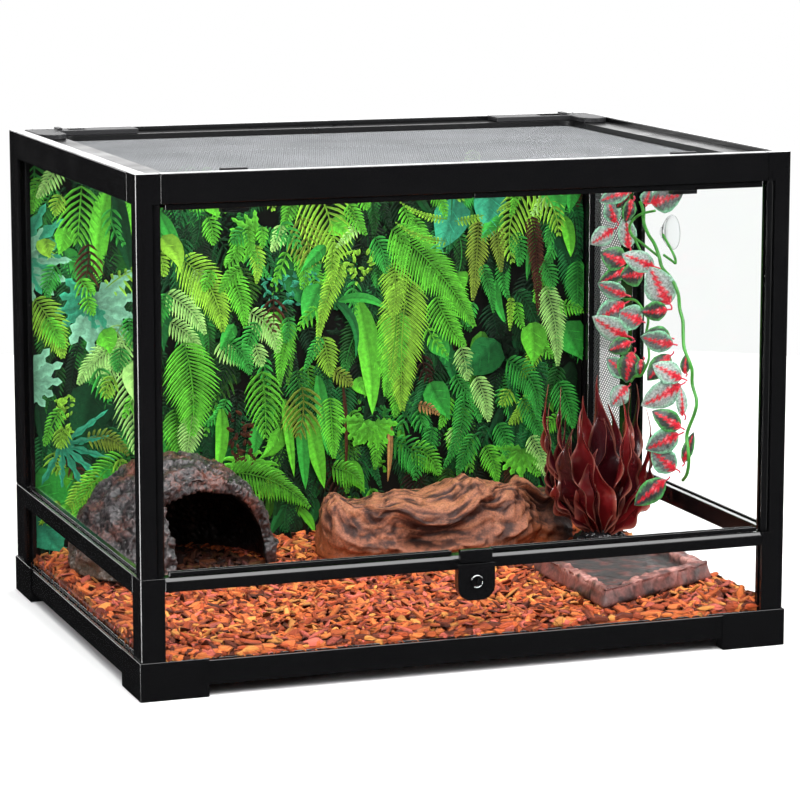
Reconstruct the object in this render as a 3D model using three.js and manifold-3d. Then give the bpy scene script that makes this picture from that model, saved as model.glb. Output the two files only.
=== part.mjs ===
// A knock-down glass terrarium with two front doors, a lift-off screen lid and a furnished floor.
// Millimetres, +Z up, doors on the -Y side. The frame is drawn about the centre of its own plan,
// and the whole group is then moved so that the origin is the bottom centre of everything.
import * as THREE from "three";
import { mergeVertices } from "three/addons/utils/BufferGeometryUtils.js";
import Module from "manifold-3d";

const wasm = await Module();
wasm.setup();

// ---- Driving dimensions ----
const width = 610; // over the corner posts, X
const depth = 460; // over the corner posts, Y
const height = 455; // floor to the top of the rim
const gap = 0.3; // clearance between any two pieces that meet

const postWidth = 22; // corner posts, along X
const lowerPostDepth = 26; // lower front posts, along Y
const upperPostDepth = 13; // upper front posts, along Y
const backPostDepth = 30; // back posts, along Y
const postWall = 13; // both arms of the L-section posts
const cornerDepth = 27; // moulded top corner of the front posts, along Y
const seam = 107; // where the upper posts stand on the lower ones

const footHeight = 34;
const footLength = 62; // each leg of the L-shaped foot
const footWidth = 16; // the pad under the rails
const footProud = 1.5; // how far the foot stands outside the posts
const baseBottom = 10; // underside of the base rails
const baseTop = 32;
const baseDepth = 16; // base rails, front to inside
const middleHeight = 12.4; // front middle rail
const middleDepth = 16;
const middleChamfer = 3.2; // its bright upper front edge
const sideMiddleHeight = 17;
const sideMiddleDepth = 14;
const topRailHeight = 26;
const rimWidth = 12; // the wall around the lid
const ledgeWidth = 7; // what the lid rests on
const ledgeHeight = 7;
const frontLedgeDrop = 4; // the front ledge's lip hangs lower, as the doors' stop
const stopGap = 2.5; // door strips to that lip

const paneThickness = 4;
const paneInset = 4; // glass face behind the outer face of the frame
const grooveDepth = 6;
const floorThickness = 5;
const floorBottom = 18;
const floorGroove = 5; // how far the floor pane enters the base rails
const cardThickness = 2; // printed background sheet
const cardGap = 0.5;

const ventWidth = 81; // screened opening at the back of the right wall
const ventStileWidth = 30;
const screenThickness = 0.8;

const pivotBack = 3; // hinge axis, outward from the post's inner edge
const stileRadius = 4.3;
const pinRadius = 1.5;
const pinLength = 5;
const swingRoom = 4; // post lip to hinge axis
const doorGap = 0.6; // doors to the rails above and below
const doorMeet = 2; // between the two doors
const stripThickness = 7;
const topStripHeight = 4.8;
const bottomStripHeight = 4;
const stripStart = 8; // from the hinge axis
const stripWeb = 2; // solid part of a strip beyond the edge of the glass
const glassInStile = 1.2; // hinge axis to the edge of the glass

const latchWidth = 35;
const latchHang = 39.3; // seam to the lowest point of the plate
const latchProud = 9;
const boltWidth = 27;
const boltHeight = 8;
const latchCornerRadius = 13;
const keyRadius = 5.2;
const keyDepth = 6;
const keyProud = 0.5;
const keyDrop = 22.2; // seam to the centre of the key cylinder
const keySlotWidth = 1.6;

const lidFrameWidth = 28;
const lidThickness = 14.1;
const lidClearance = 0.5;
const lidCornerRadius = 14;
const screenDrop = 5.3; // lid top to screen
const screenInFrame = 3.5;
const lockInset = 82; // turn locks, from the lid's side edges
const lockStemRadius = 3;
const lockDiscRadius = 13;
const lockDiscHeight = 2;
const lockBarLength = 24;
const lockBarWidth = 5;
const lockBarHeight = 2.8;
const tongueLength = 24;
const tongueWidth = 10;
const tongueHeight = 7;

const portHeight = 4.8; // cable port covers on the lid's back corners
const portBackArm = 106;
const portSideArm = 67;
const portWidth = 27;
const portSlotLength = 14;
const portSlotWidth = 9;
const gateLength = 20;
const gateWidth = 14;
const gateThickness = 2;
const gateTravel = 16;
const gateInset = 30; // gate at rest, from the lid's side edge
const gripHeight = 2.2;

const beddingDepth = 19; // bark on the floor pane
const hideHeight = 106;
const hideWall = 11;
const mouthWidth = 98;
const mouthHeight = 74;
const logHeight = 74;
const rootHeight = 56;
const dishHeight = 15;
const dishRim = 13;
const basinDepth = 8;
const plantHeight = 164;
const plantSpread = 56;
const plantBaseRadius = 29;
const plantBaseHeight = 17;
const plantLeafCount = 12;
const plantLeafWidth = 27;
const leafThickness = 2.4;
const cupRadius = 17;
const cupDrop = 73; // below the top rails
const vineRadius = 2;
const vineLeafLength = 44;
const vineLeafWidth = 28;
const vineStandoff = 16; // stems in from the right wall

// ---- Places worked out from them ----
const halfWidth = width / 2;
const halfDepth = depth / 2;
const railBottom = height - topRailHeight;
const lidBottom = railBottom + ledgeHeight + gap;
const lidTop = lidBottom + lidThickness;
const floorTop = floorBottom + floorThickness;
const middleBottom = seam - middleHeight;
const sideMiddleBottom = seam - sideMiddleHeight;
const paneOutX = halfWidth - paneInset;
const paneInX = paneOutX - paneThickness;
const paneOutY = halfDepth - paneInset;
const paneInY = paneOutY - paneThickness;
const lidHalfX = halfWidth - rimWidth - lidClearance;
const lidHalfY = halfDepth - rimWidth - lidClearance;
const pivotX = halfWidth - postWidth + pivotBack;
const pivotY = -(paneOutY - paneThickness / 2);
const ventBack = halfDepth - backPostDepth;
const ventFront = ventBack - ventWidth;
const cardBack = halfDepth - postWall - cardGap;
const cardFront = cardBack - cardThickness;
const doorBottom = seam + doorGap;
const doorTop = railBottom - doorGap;
const glassBottom = doorBottom + stripWeb + gap;
const boltTop = glassBottom - doorGap;
const boltBottom = boltTop - boltHeight;
const latchBottom = seam - latchHang;
const keyCentre = seam - keyDrop;
const sides = { left: -1, right: 1 };
const ends = { front: -1, back: 1 };

// ---- Finishes ----
const finish = (color, roughness, more = {}) =>
  new THREE.MeshStandardMaterial({ color, roughness, metalness: 0, ...more });
const blackPlastic = finish(0x161618, 0.25);
const clearGlass = finish(0xdfeee8, 0.05, { transparent: true, opacity: 0.3 });
const foliagePrint = finish(0x3f8a35, 0.5);
const wovenScreen = finish(0x8a8c90, 0.4, { metalness: 0.7 });
const keyMetal = finish(0x9a9ca0, 0.3, { metalness: 0.9 });
const bark = finish(0xb5562e, 0.9);
const darkRock = finish(0x4a4142, 0.85);
const driftwood = finish(0x8a5638, 0.85);
const dishStone = finish(0x7a5450, 0.7);
const redLeaf = finish(0x78201f, 0.3);
const pebble = finish(0x1d1d20, 0.35);
const vineLeaf = finish(0x8f9a90, 0.5);
const clearVinyl = finish(0xe8eef0, 0.1, { transparent: true, opacity: 0.4 });

// ---- Solids ----
// A closed three.js geometry as a solid that can be joined and cut.
function solidOf(geometry) {
  const bare = geometry.clone();
  bare.deleteAttribute("normal");
  bare.deleteAttribute("uv");
  const merged = mergeVertices(bare, 1e-4);
  const mesh = new wasm.Mesh({
    numProp: 3,
    vertProperties: merged.attributes.position.array,
    triVerts: new Uint32Array(merged.index.array),
  });
  return new wasm.Manifold(mesh);
}

function geometryOf(solid) {
  const mesh = solid.getMesh();
  const geometry = new THREE.BufferGeometry();
  geometry.setAttribute("position", new THREE.BufferAttribute(mesh.vertProperties, 3));
  geometry.setIndex(new THREE.BufferAttribute(mesh.triVerts, 1));
  geometry.computeVertexNormals();
  return geometry;
}

const join = (...solids) => solids.reduce((whole, next) => whole.add(next));
const cut = (solid, ...cutters) => cutters.reduce((rest, next) => rest.subtract(next), solid);

// A box is three spans, [x, y, z], each [low, high].
const box = (...spans) => spans.map(([a, b]) => [Math.min(a, b), Math.max(a, b)]);
const grown = (spans, by) => spans.map(([a, b]) => [a - by, b + by]);
const around = (centre, size) => [centre - size / 2, centre + size / 2];

function block(spans) {
  const size = spans.map(([a, b]) => b - a);
  const middle = spans.map(([a, b]) => (a + b) / 2);
  return solidOf(new THREE.BoxGeometry(...size).translate(...middle));
}

const blocks = (...boxes) => join(...boxes.map(block));

// An outline in the X-Y plane, raised from z = low to high.
function prism(shape, low, high) {
  const options = { depth: high - low, bevelEnabled: false, curveSegments: 6 };
  const geometry = new THREE.ExtrudeGeometry(shape, options);
  return geometry.translate(0, 0, low);
}

// An outline of [y, z] points, run along X.
function railAlongX(points, [low, high]) {
  const shape = new THREE.Shape(points.map(([y, z]) => new THREE.Vector2(y, z)));
  const turn = new THREE.Matrix4().set(0, 0, 1, 0, 1, 0, 0, 0, 0, 1, 0, 0, 0, 0, 0, 1);
  return solidOf(prism(shape, low, high).applyMatrix4(turn));
}

function upright(radius, [x, y], [low, high], segments = 20) {
  const geometry = new THREE.CylinderGeometry(radius, radius, high - low, segments);
  return solidOf(geometry.rotateX(Math.PI / 2).translate(x, y, (low + high) / 2));
}

function roundedRectangle(halfX, halfY, radius) {
  const shape = new THREE.Shape();
  shape.absarc(halfX - radius, halfY - radius, radius, 0, Math.PI / 2);
  shape.absarc(radius - halfX, halfY - radius, radius, Math.PI / 2, Math.PI);
  shape.absarc(radius - halfX, radius - halfY, radius, Math.PI, 1.5 * Math.PI);
  shape.absarc(halfX - radius, radius - halfY, radius, 1.5 * Math.PI, 2 * Math.PI);
  return shape;
}

// A thin pointed blade with a lens-shaped section, swept along a bowed spine.
function blade(root, bow, tip, across, bladeWidth, thickness, steps) {
  const spine = new THREE.QuadraticBezierCurve3(root, bow, tip);
  const points = [];
  for (let i = 1; i < steps; i++) {
    const t = i / steps;
    const at = spine.getPoint(t);
    const normal = spine.getTangent(t).cross(across).normalize();
    const half = (bladeWidth / 2) * Math.sin(Math.PI * Math.pow(t, 0.8));
    points.push(at.clone().addScaledVector(across, half));
    points.push(at.clone().addScaledVector(normal, thickness / 2));
    points.push(at.clone().addScaledVector(across, -half));
    points.push(at.clone().addScaledVector(normal, -thickness / 2));
  }
  const first = points.length;
  const last = first + 1;
  points.push(root, tip);
  const faces = [];
  for (let k = 0; k < 4; k++) {
    const next = (k + 1) % 4;
    const end = first - 4;
    faces.push(first, k, next);
    faces.push(last, end + next, end + k);
    for (let i = 0; i < end; i += 4) {
      faces.push(i + k, i + 4 + k, i + next);
      faces.push(i + next, i + 4 + k, i + 4 + next);
    }
  }
  const geometry = new THREE.BufferGeometry().setFromPoints(points);
  geometry.setIndex(faces);
  const solid = solidOf(geometry);
  if (solid.volume() > 0) return solid;
  geometry.setIndex(faces.toReversed());
  return solidOf(geometry);
}

// ---- Panes and sheets: plain boxes that the frame is grooved for ----
const wallTop = railBottom + ledgeHeight - gap * 10;
const lowerZ = [baseTop - grooveDepth, middleBottom + grooveDepth];
const lowerSideZ = [baseTop - grooveDepth, sideMiddleBottom + grooveDepth];
const upperZ = [seam - grooveDepth, wallTop];
const frontGrooveX = halfWidth - postWidth + grooveDepth;
const sideGrooveBack = halfDepth - backPostDepth + grooveDepth;
const panes = {
  floor_glass: box(
    around(0, 2 * (halfWidth - baseDepth + floorGroove)),
    around(0, 2 * (halfDepth - baseDepth + floorGroove)),
    [floorBottom, floorTop],
  ),
  lower_front_glass: box([-frontGrooveX, frontGrooveX], [-paneOutY, -paneInY], lowerZ),
  back_glass: box([-frontGrooveX, frontGrooveX], [paneInY, paneOutY], [baseTop - grooveDepth, wallTop]),
};
for (const [side, x] of Object.entries(sides)) {
  const lowerFront = -(halfDepth - lowerPostDepth + grooveDepth);
  const upperFront = -(halfDepth - upperPostDepth + grooveDepth);
  const upperBack = x < 0 ? sideGrooveBack : ventFront - ventStileWidth + grooveDepth;
  panes[`lower_${side}_glass`] = box([x * paneInX, x * paneOutX], [lowerFront, sideGrooveBack], lowerSideZ);
  panes[`${side}_side_glass`] = box([x * paneInX, x * paneOutX], [upperFront, upperBack], upperZ);
}
const ventX = paneInX + paneThickness / 2;
const ventScreen = box(around(ventX, screenThickness), [ventFront - grooveDepth, sideGrooveBack], upperZ);
const grooves = [...Object.values(panes), ventScreen].map((pane) => block(grown(pane, gap)));
const grooved = (solid) => cut(solid, ...grooves);

// ---- The group ----
const cage = new THREE.Group();
function add(name, solid, material) {
  const mesh = new THREE.Mesh(geometryOf(solid), material);
  mesh.name = name;
  cage.add(mesh);
}

// An L of two boxes standing in the corner that x and y name.
function corner(x, y, [armX, armY], [wallX, wallY], z) {
  return [
    box([x * halfWidth, x * (halfWidth - armX)], [y * halfDepth, y * (halfDepth - wallY)], z),
    box([x * halfWidth, x * (halfWidth - wallX)], [y * halfDepth, y * (halfDepth - armY)], z),
  ];
}

const lowerDepth = (y) => (y < 0 ? lowerPostDepth : backPostDepth);
const topDepth = (y) => (y < 0 ? cornerDepth : backPostDepth);

function addFeet() {
  const outX = halfWidth + footProud;
  const outY = halfDepth + footProud;
  const wall = footProud - gap;
  for (const [side, x] of Object.entries(sides)) {
    for (const [end, y] of Object.entries(ends)) {
      const alongX = [x * outX, x * (outX - footLength)];
      const alongY = [y * outY, y * (outY - footLength)];
      const pad = [0, baseBottom - gap];
      const foot = blocks(
        box(alongX, [y * outY, y * (outY - footWidth)], pad),
        box([x * outX, x * (outX - footWidth)], alongY, pad),
        box(alongX, [y * outY, y * (outY - wall)], [0, footHeight]),
        box([x * outX, x * (outX - wall)], alongY, [0, footHeight]),
      );
      add(`${end}_${side}_foot`, foot, blackPlastic);
    }
  }
}

function addLowerPosts() {
  for (const [side, x] of Object.entries(sides)) {
    for (const [end, y] of Object.entries(ends)) {
      const arms = corner(x, y, [postWidth, lowerDepth(y)], [postWall, postWall], [baseBottom, seam]);
      const pinHole = upright(pinRadius + gap, [x * pivotX, pivotY], [seam - pinLength - gap, seam + gap]);
      const post = grooved(blocks(...arms));
      add(`${end}_${side}_lower_post`, y < 0 ? cut(post, pinHole) : post, blackPlastic);
    }
  }
}

// The upper front posts wrap round the hinge stile and end in a moulded top corner.
function upperPost(x, y) {
  const arm = y < 0 ? upperPostDepth : backPostDepth;
  const shaft = corner(x, y, [postWidth, arm], [postWall, postWall], [seam + gap, railBottom]);
  const rim = corner(x, y, [postWidth, topDepth(y)], [rimWidth, rimWidth], [railBottom, height]);
  const shelf = rimWidth + ledgeWidth;
  const ledgeUp = [railBottom, railBottom + ledgeHeight];
  const ledge = corner(x, y, [postWidth, topDepth(y)], [shelf, shelf], ledgeUp);
  return grooved(blocks(...shaft, ...rim, ...ledge));
}

function hingeRecess(x) {
  const reach = [seam, railBottom];
  const round = upright(stileRadius + gap, [x * pivotX, pivotY], reach);
  const lip = x * (pivotX + swingRoom);
  const mouth = block(box([lip, x * (halfWidth - postWidth - 1)], [pivotY, -halfDepth - 1], reach));
  const pinHole = upright(pinRadius + gap, [x * pivotX, pivotY], [railBottom - 1, railBottom + pinLength]);
  return [round, mouth, pinHole];
}

function addUpperPosts() {
  for (const [side, x] of Object.entries(sides)) {
    add(`front_${side}_upper_post`, cut(upperPost(x, -1), ...hingeRecess(x)), blackPlastic);
    add(`back_${side}_upper_post`, upperPost(x, 1), blackPlastic);
  }
}

const acrossX = around(0, 2 * (halfWidth - postWidth - gap));
const alongSides = (frontDepth) => [-(halfDepth - frontDepth - gap), halfDepth - backPostDepth - gap];

function addBaseRails() {
  const z = [baseBottom, baseTop];
  for (const [end, y] of Object.entries(ends)) {
    const rail = block(box(acrossX, [y * halfDepth, y * (halfDepth - baseDepth)], z));
    add(`${end}_base_rail`, grooved(rail), blackPlastic);
  }
  for (const [side, x] of Object.entries(sides)) {
    const rail = block(box([x * halfWidth, x * (halfWidth - baseDepth)], alongSides(lowerPostDepth), z));
    add(`${side}_base_rail`, grooved(rail), blackPlastic);
  }
}

function addMiddleRails() {
  const front = railAlongX(
    [
      [-halfDepth, middleBottom],
      [middleDepth - halfDepth, middleBottom],
      [middleDepth - halfDepth, seam],
      [middleChamfer - halfDepth, seam],
      [-halfDepth, seam - middleChamfer],
    ],
    acrossX,
  );
  add("front_middle_rail", grooved(front), blackPlastic);
  for (const [side, x] of Object.entries(sides)) {
    const across = [x * halfWidth, x * (halfWidth - sideMiddleDepth)];
    const rail = block(box(across, alongSides(lowerPostDepth), [sideMiddleBottom, seam]));
    add(`${side}_middle_rail`, grooved(rail), blackPlastic);
  }
}

function addTopRails() {
  const z = [railBottom, height];
  const shelf = rimWidth + ledgeWidth;
  const doorStop = box(
    acrossX,
    [pivotY + stripThickness / 2 + stopGap, shelf - halfDepth],
    [railBottom - frontLedgeDrop, railBottom + ledgeHeight],
  );
  for (const [end, y] of Object.entries(ends)) {
    const rim = box(acrossX, [y * halfDepth, y * (halfDepth - rimWidth)], z);
    const ledgeY = [y * halfDepth, y * (halfDepth - shelf)];
    const ledge = box(acrossX, ledgeY, [railBottom, railBottom + ledgeHeight]);
    const parts = y < 0 ? [rim, ledge, doorStop] : [rim, ledge];
    add(`${end}_top_rail`, grooved(blocks(...parts)), blackPlastic);
  }
  for (const [side, x] of Object.entries(sides)) {
    const along = alongSides(cornerDepth);
    const rim = box([x * halfWidth, x * (halfWidth - rimWidth)], along, z);
    const ledgeX = [x * halfWidth, x * (halfWidth - shelf)];
    const ledge = box(ledgeX, along, [railBottom, railBottom + ledgeHeight]);
    add(`${side}_top_rail`, grooved(blocks(rim, ledge)), blackPlastic);
  }
}

function addWalls() {
  for (const [name, pane] of Object.entries(panes)) add(name, block(pane), clearGlass);
  const stile = box(
    [halfWidth - postWall, halfWidth],
    [ventFront - ventStileWidth, ventFront],
    [seam + gap, railBottom - gap],
  );
  add("vent_stile", grooved(block(stile)), blackPlastic);
  add("vent_screen", block(ventScreen), wovenScreen);
  const cardHalf = halfWidth - postWall - cardGap;
  const card = box([-cardHalf, cardHalf], [cardFront, cardBack], [baseTop + 2 * gap, railBottom - cardGap]);
  add("background_card", block(card), foliagePrint);
}

// ---- Doors ----
const doorGlass = (x) =>
  box(
    [x * (pivotX - glassInStile), (x * doorMeet) / 2],
    [-paneOutY, -paneInY],
    [glassBottom, doorTop - stripWeb],
  );

function addDoor(side, x) {
  const glass = doorGlass(x);
  const slot = block(grown(glass, gap));
  const pins = [seam - pinLength + gap, railBottom + pinLength - gap];
  const stile = join(
    upright(stileRadius, [x * pivotX, pivotY], [doorBottom, doorTop]),
    upright(pinRadius, [x * pivotX, pivotY], pins, 12),
  );
  const stripY = around(pivotY, stripThickness);
  const outer = x * (pivotX - stripStart);
  const top = box([outer, (x * doorMeet) / 2], stripY, [doorTop - topStripHeight, doorTop]);
  const clearOfLatch = x * (latchWidth / 2 + doorMeet);
  const bottom = box([outer, clearOfLatch], stripY, [doorBottom, doorBottom + bottomStripHeight]);
  add(`${side}_door_glass`, block(glass), clearGlass);
  add(`${side}_hinge_stile`, cut(stile, slot), blackPlastic);
  add(`${side}_door_top_strip`, cut(block(top), slot), blackPlastic);
  add(`${side}_door_bottom_strip`, cut(block(bottom), slot), blackPlastic);
}

// ---- Latch ----
// A solid turned about an axis along Y through the key cylinder's centre.
function keyTurned(radius, [low, high]) {
  const geometry = new THREE.CylinderGeometry(radius, radius, high - low, 24);
  return solidOf(geometry.translate(0, (low + high) / 2, keyCentre));
}

function addLatch() {
  const face = -(halfDepth + latchProud);
  const back = -(halfDepth + gap);
  const half = latchWidth / 2;
  const outline = new THREE.Shape();
  outline.moveTo(half, boltBottom - gap);
  outline.lineTo(-half, boltBottom - gap);
  const arcX = half - latchCornerRadius;
  const arcZ = latchBottom + latchCornerRadius;
  outline.absarc(-arcX, arcZ, latchCornerRadius, Math.PI, 1.5 * Math.PI);
  outline.absarc(arcX, arcZ, latchCornerRadius, 1.5 * Math.PI, 2 * Math.PI);
  const plate = solidOf(prism(outline, -back, -face).rotateX(Math.PI / 2));
  const bore = keyTurned(keyRadius + gap, [face - 1, face + keyDepth + gap]);
  add("latch_plate", cut(plate, bore), blackPlastic);
  const bolt = box(around(0, boltWidth), [face + gap, back], [boltBottom, boltTop]);
  add("latch_bolt", block(bolt), blackPlastic);
  const slotUp = around(keyCentre, keyRadius * 1.3);
  const slot = box(around(0, keySlotWidth), [face - 1, face + keyDepth / 2], slotUp);
  const cylinder = cut(keyTurned(keyRadius, [face - keyProud, face + keyDepth]), block(slot));
  add("key_cylinder", cylinder, keyMetal);
}

// ---- Screen lid ----
const lockY = -(lidHalfY - lidFrameWidth / 2);
const lockX = lidHalfX - lockInset;
const slotY = lidHalfY - lidFrameWidth / 2;
const gateX = lidHalfX - gateInset;
const screenTop = lidTop - screenDrop;

function addLid() {
  const outer = block(box(around(0, 2 * lidHalfX), around(0, 2 * lidHalfY), [lidBottom, lidTop]));
  const holeX = lidHalfX - lidFrameWidth;
  const holeY = lidHalfY - lidFrameWidth;
  const hole = solidOf(prism(roundedRectangle(holeX, holeY, lidCornerRadius), lidBottom - 1, lidTop + 1));
  const screen = box(
    around(0, 2 * (holeX + screenInFrame)),
    around(0, 2 * (holeY + screenInFrame)),
    [screenTop - screenThickness, screenTop],
  );
  const cuts = [hole, block(grown(screen, gap))];
  for (const x of Object.values(sides)) {
    const through = [lidBottom - 1, lidTop + 1];
    cuts.push(upright(lockStemRadius + gap, [x * lockX, lockY], through));
    cuts.push(block(box(around(x * gateX, portSlotLength), around(slotY, portSlotWidth), through)));
  }
  add("screen_frame", cut(outer, ...cuts), blackPlastic);
  add("lid_screen", block(screen), wovenScreen);
}

function addTurnLock(side, x) {
  const at = [x * lockX, lockY];
  const discBottom = lidTop + gap;
  const barTop = discBottom + lockDiscHeight + lockBarHeight;
  const tongueTop = railBottom - frontLedgeDrop - gap;
  const lock = join(
    upright(lockDiscRadius, at, [discBottom, discBottom + lockDiscHeight], 28),
    upright(lockStemRadius, at, [tongueTop - 1, discBottom + 1], 16),
    block(box(around(at[0], lockBarLength), around(lockY, lockBarWidth), [discBottom + 1, barTop])),
    block(
      box(around(at[0], tongueLength), around(lockY, tongueWidth), [tongueTop - tongueHeight, tongueTop]),
    ),
  );
  add(`${side}_turn_lock`, lock, blackPlastic);
}

// An L-shaped cover on the lid's back corner, with a cable slot under a sliding gate.
function addCablePort(side, x) {
  const low = lidTop + gap;
  const high = low + portHeight;
  const edgeX = lidHalfX - gap;
  const edgeY = lidHalfY - gap;
  const roundX = x * (edgeX - portWidth / 2);
  const roundY = edgeY - portSideArm + portWidth / 2;
  const cover = join(
    block(box([x * edgeX, x * (edgeX - portBackArm)], [edgeY, edgeY - portWidth], [low, high])),
    block(box([x * edgeX, x * (edgeX - portWidth)], [edgeY, roundY], [low, high])),
    upright(portWidth / 2, [roundX, roundY], [low, high], 24),
  );
  const pocketFloor = high - gateThickness - gap;
  const outer = x * (gateX + gateLength / 2 + gap);
  const inner = x * (gateX - gateLength / 2 - gateTravel - gap);
  const pocket = block(box([outer, inner], around(slotY, gateWidth + 2 * gap), [pocketFloor, high + 1]));
  const slot = block(box(around(x * gateX, portSlotLength), around(slotY, portSlotWidth), [low - 1, high]));
  add(`${side}_cable_port`, cut(cover, pocket, slot), blackPlastic);
  const gate = box(around(x * gateX, gateLength), around(slotY, gateWidth), [high - gateThickness, high]);
  const gripX = around(x * gateX, lockBarWidth);
  const grip = box(gripX, around(slotY, gateWidth), [high - 1, high + gripHeight]);
  add(`${side}_port_gate`, blocks(gate, grip), blackPlastic);
}

// ---- Furnishings ----
// They are picked to fill the floor, so their places and plan sizes are shares of it.
const beddingTop = floorTop + gap + beddingDepth;
const standing = beddingTop + gap;
const roomX = 2 * paneInX;
const roomFront = -paneInY;
const roomY = cardFront - roomFront;
const planX = (share) => roomX * share - paneInX;
const planY = (share) => roomFront + roomY * share;
const above = (solid) => solid.intersect(block(box([-width, width], [-depth, depth], [standing, height])));

function ellipsoid([x, y, z], [rx, ry, rz], across = 24, up = 16) {
  const geometry = new THREE.SphereGeometry(1, across, up).rotateX(Math.PI / 2);
  return solidOf(geometry.scale(rx, ry, rz).translate(x, y, z));
}

function addBedding() {
  const inRails = 2 * (halfWidth - baseDepth - gap);
  const inEnds = 2 * (halfDepth - baseDepth - gap);
  const betweenPanes = 2 * (paneInX - gap);
  const split = baseTop + gap;
  const low = box(around(0, inRails), around(0, inEnds), [floorTop + gap, split]);
  const top = box(around(0, betweenPanes), [gap - paneInY, cardFront - gap], [split, beddingTop]);
  const posts = Object.values(sides).flatMap((x) =>
    Object.values(ends).flatMap((y) =>
      corner(x, y, [postWidth, lowerDepth(y)], [postWall, postWall], [0, seam]).map((arm) =>
        block(grown(arm, gap)),
      ),
    ),
  );
  add("bark_bedding", cut(blocks(low, top), ...posts), bark);
}

// A hollow half dome, open underneath, with an arched mouth in a flat front.
function addHide() {
  const centre = [planX(0.197), planY(0.755), standing];
  const radii = [roomX * 0.17, roomY * 0.22, hideHeight];
  const inner = radii.map((radius) => radius - hideWall);
  const turn = THREE.MathUtils.degToRad(12);
  const mouthX = centre[0] + radii[0] * 0.35;
  const mouthY = centre[1] - radii[1] * 0.45;
  const facing = (geometry) => solidOf(geometry.rotateZ(turn).translate(mouthX, mouthY, standing));
  const front = facing(new THREE.BoxGeometry(mouthWidth * 1.35, roomY, height).translate(0, -roomY / 2, 0));
  const arch = new THREE.CylinderGeometry(1, 1, radii[1], 24).scale(mouthWidth / 2, 1, mouthHeight);
  const hide = cut(ellipsoid(centre, radii), ellipsoid(centre, inner), front, facing(arch));
  add("rock_hide", above(hide), darkRock);
}

function addDriftwood() {
  const logCentre = [planX(0.625), planY(0.68), standing + logHeight * 0.35];
  const log = ellipsoid(logCentre, [roomX * 0.185, roomY * 0.105, logHeight * 0.65]);
  const stubRadii = [roomX * 0.055, roomY * 0.09, logHeight * 0.8];
  const stub = ellipsoid([planX(0.49), planY(0.72), standing], stubRadii, 16, 12);
  const rootRadii = [roomX * 0.075, roomY * 0.075, rootHeight];
  const root = ellipsoid([planX(0.815), planY(0.75), standing], rootRadii, 16, 12);
  add("driftwood_log", above(join(log, stub, root)), driftwood);
}

// The dish's four-cornered plan, drawn in from its outline by an inset.
function dishOutline(inset) {
  const corners = [
    [0.733, 0.49],
    [0.735, 0.05],
    [0.97, 0.22],
    [0.955, 0.5],
  ].map(([x, y]) => new THREE.Vector2(planX(x), planY(y)));
  const centre = corners.reduce((sum, point) => sum.add(point), new THREE.Vector2()).divideScalar(4);
  const drawnIn = (point) => {
    point.sub(centre);
    return point.setLength(point.length() - inset).add(centre);
  };
  return new THREE.Shape(corners.map(drawnIn));
}

function addDish() {
  const rimTop = standing + dishHeight;
  const body = solidOf(prism(dishOutline(0), standing, rimTop));
  const basin = solidOf(prism(dishOutline(dishRim * 1.5), rimTop - basinDepth, rimTop + 1));
  add("water_dish", cut(body, basin), dishStone);
}

function addPlant() {
  const [x, y] = [planX(1) - plantSpread - 1, planY(0.61)];
  const baseTopZ = standing + plantBaseHeight;
  const base = new THREE.CylinderGeometry(plantBaseRadius * 0.7, plantBaseRadius, plantBaseHeight, 24);
  base.rotateX(Math.PI / 2).translate(x, y, standing + plantBaseHeight / 2);
  add("plant_base", solidOf(base), pebble);
  const rootZ = baseTopZ + gap;
  const crown = upright(plantSpread * 0.16, [x, y], [rootZ, rootZ + plantHeight * 0.18], 14);
  const leaves = [];
  for (let i = 0; i < plantLeafCount; i++) {
    const angle = (i / plantLeafCount) * 2 * Math.PI;
    const lean = i % 2 ? 0.9 : 0.45;
    const out = (radius, z) =>
      new THREE.Vector3(x + radius * Math.cos(angle), y + radius * Math.sin(angle), rootZ + z);
    const tipHeight = (plantHeight - plantBaseHeight) * (i % 2 ? 0.78 : 1) - gap;
    const across = new THREE.Vector3(-Math.sin(angle), Math.cos(angle), 0);
    const bowed = out(plantSpread * lean * 1.35, tipHeight * 0.3);
    const tip = out(plantSpread * lean * 0.95, tipHeight);
    leaves.push(blade(out(2, 2), bowed, tip, across, plantLeafWidth, leafThickness, 8));
  }
  add("aloe_plant", join(crown, ...leaves), redLeaf);
}

// ---- Vine on its suction cup ----
const cupZ = railBottom - cupDrop;
const cupY = planY(0.52);
const wallX = paneInX - gap;

function addSuctionCup() {
  const profile = [
    [0, 0],
    [cupRadius, 0],
    [cupRadius - 1, 1.6],
    [6, 5],
    [4, 8],
    [4.6, 12],
    [0, 12],
  ].map(([radius, out]) => new THREE.Vector2(radius, out));
  const cup = new THREE.LatheGeometry(profile, 24).rotateZ(Math.PI / 2).translate(wallX, cupY, cupZ);
  add("suction_cup", solidOf(cup), clearVinyl);
}

// A stem through points of [share of the room's depth, share of the drop from cup to bedding].
function stemCurve(points) {
  const drop = cupZ - standing;
  return new THREE.CatmullRomCurve3(
    points.map(([y, z]) => new THREE.Vector3(paneInX - vineStandoff - 2, planY(y), standing + drop * z)),
  );
}

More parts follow.
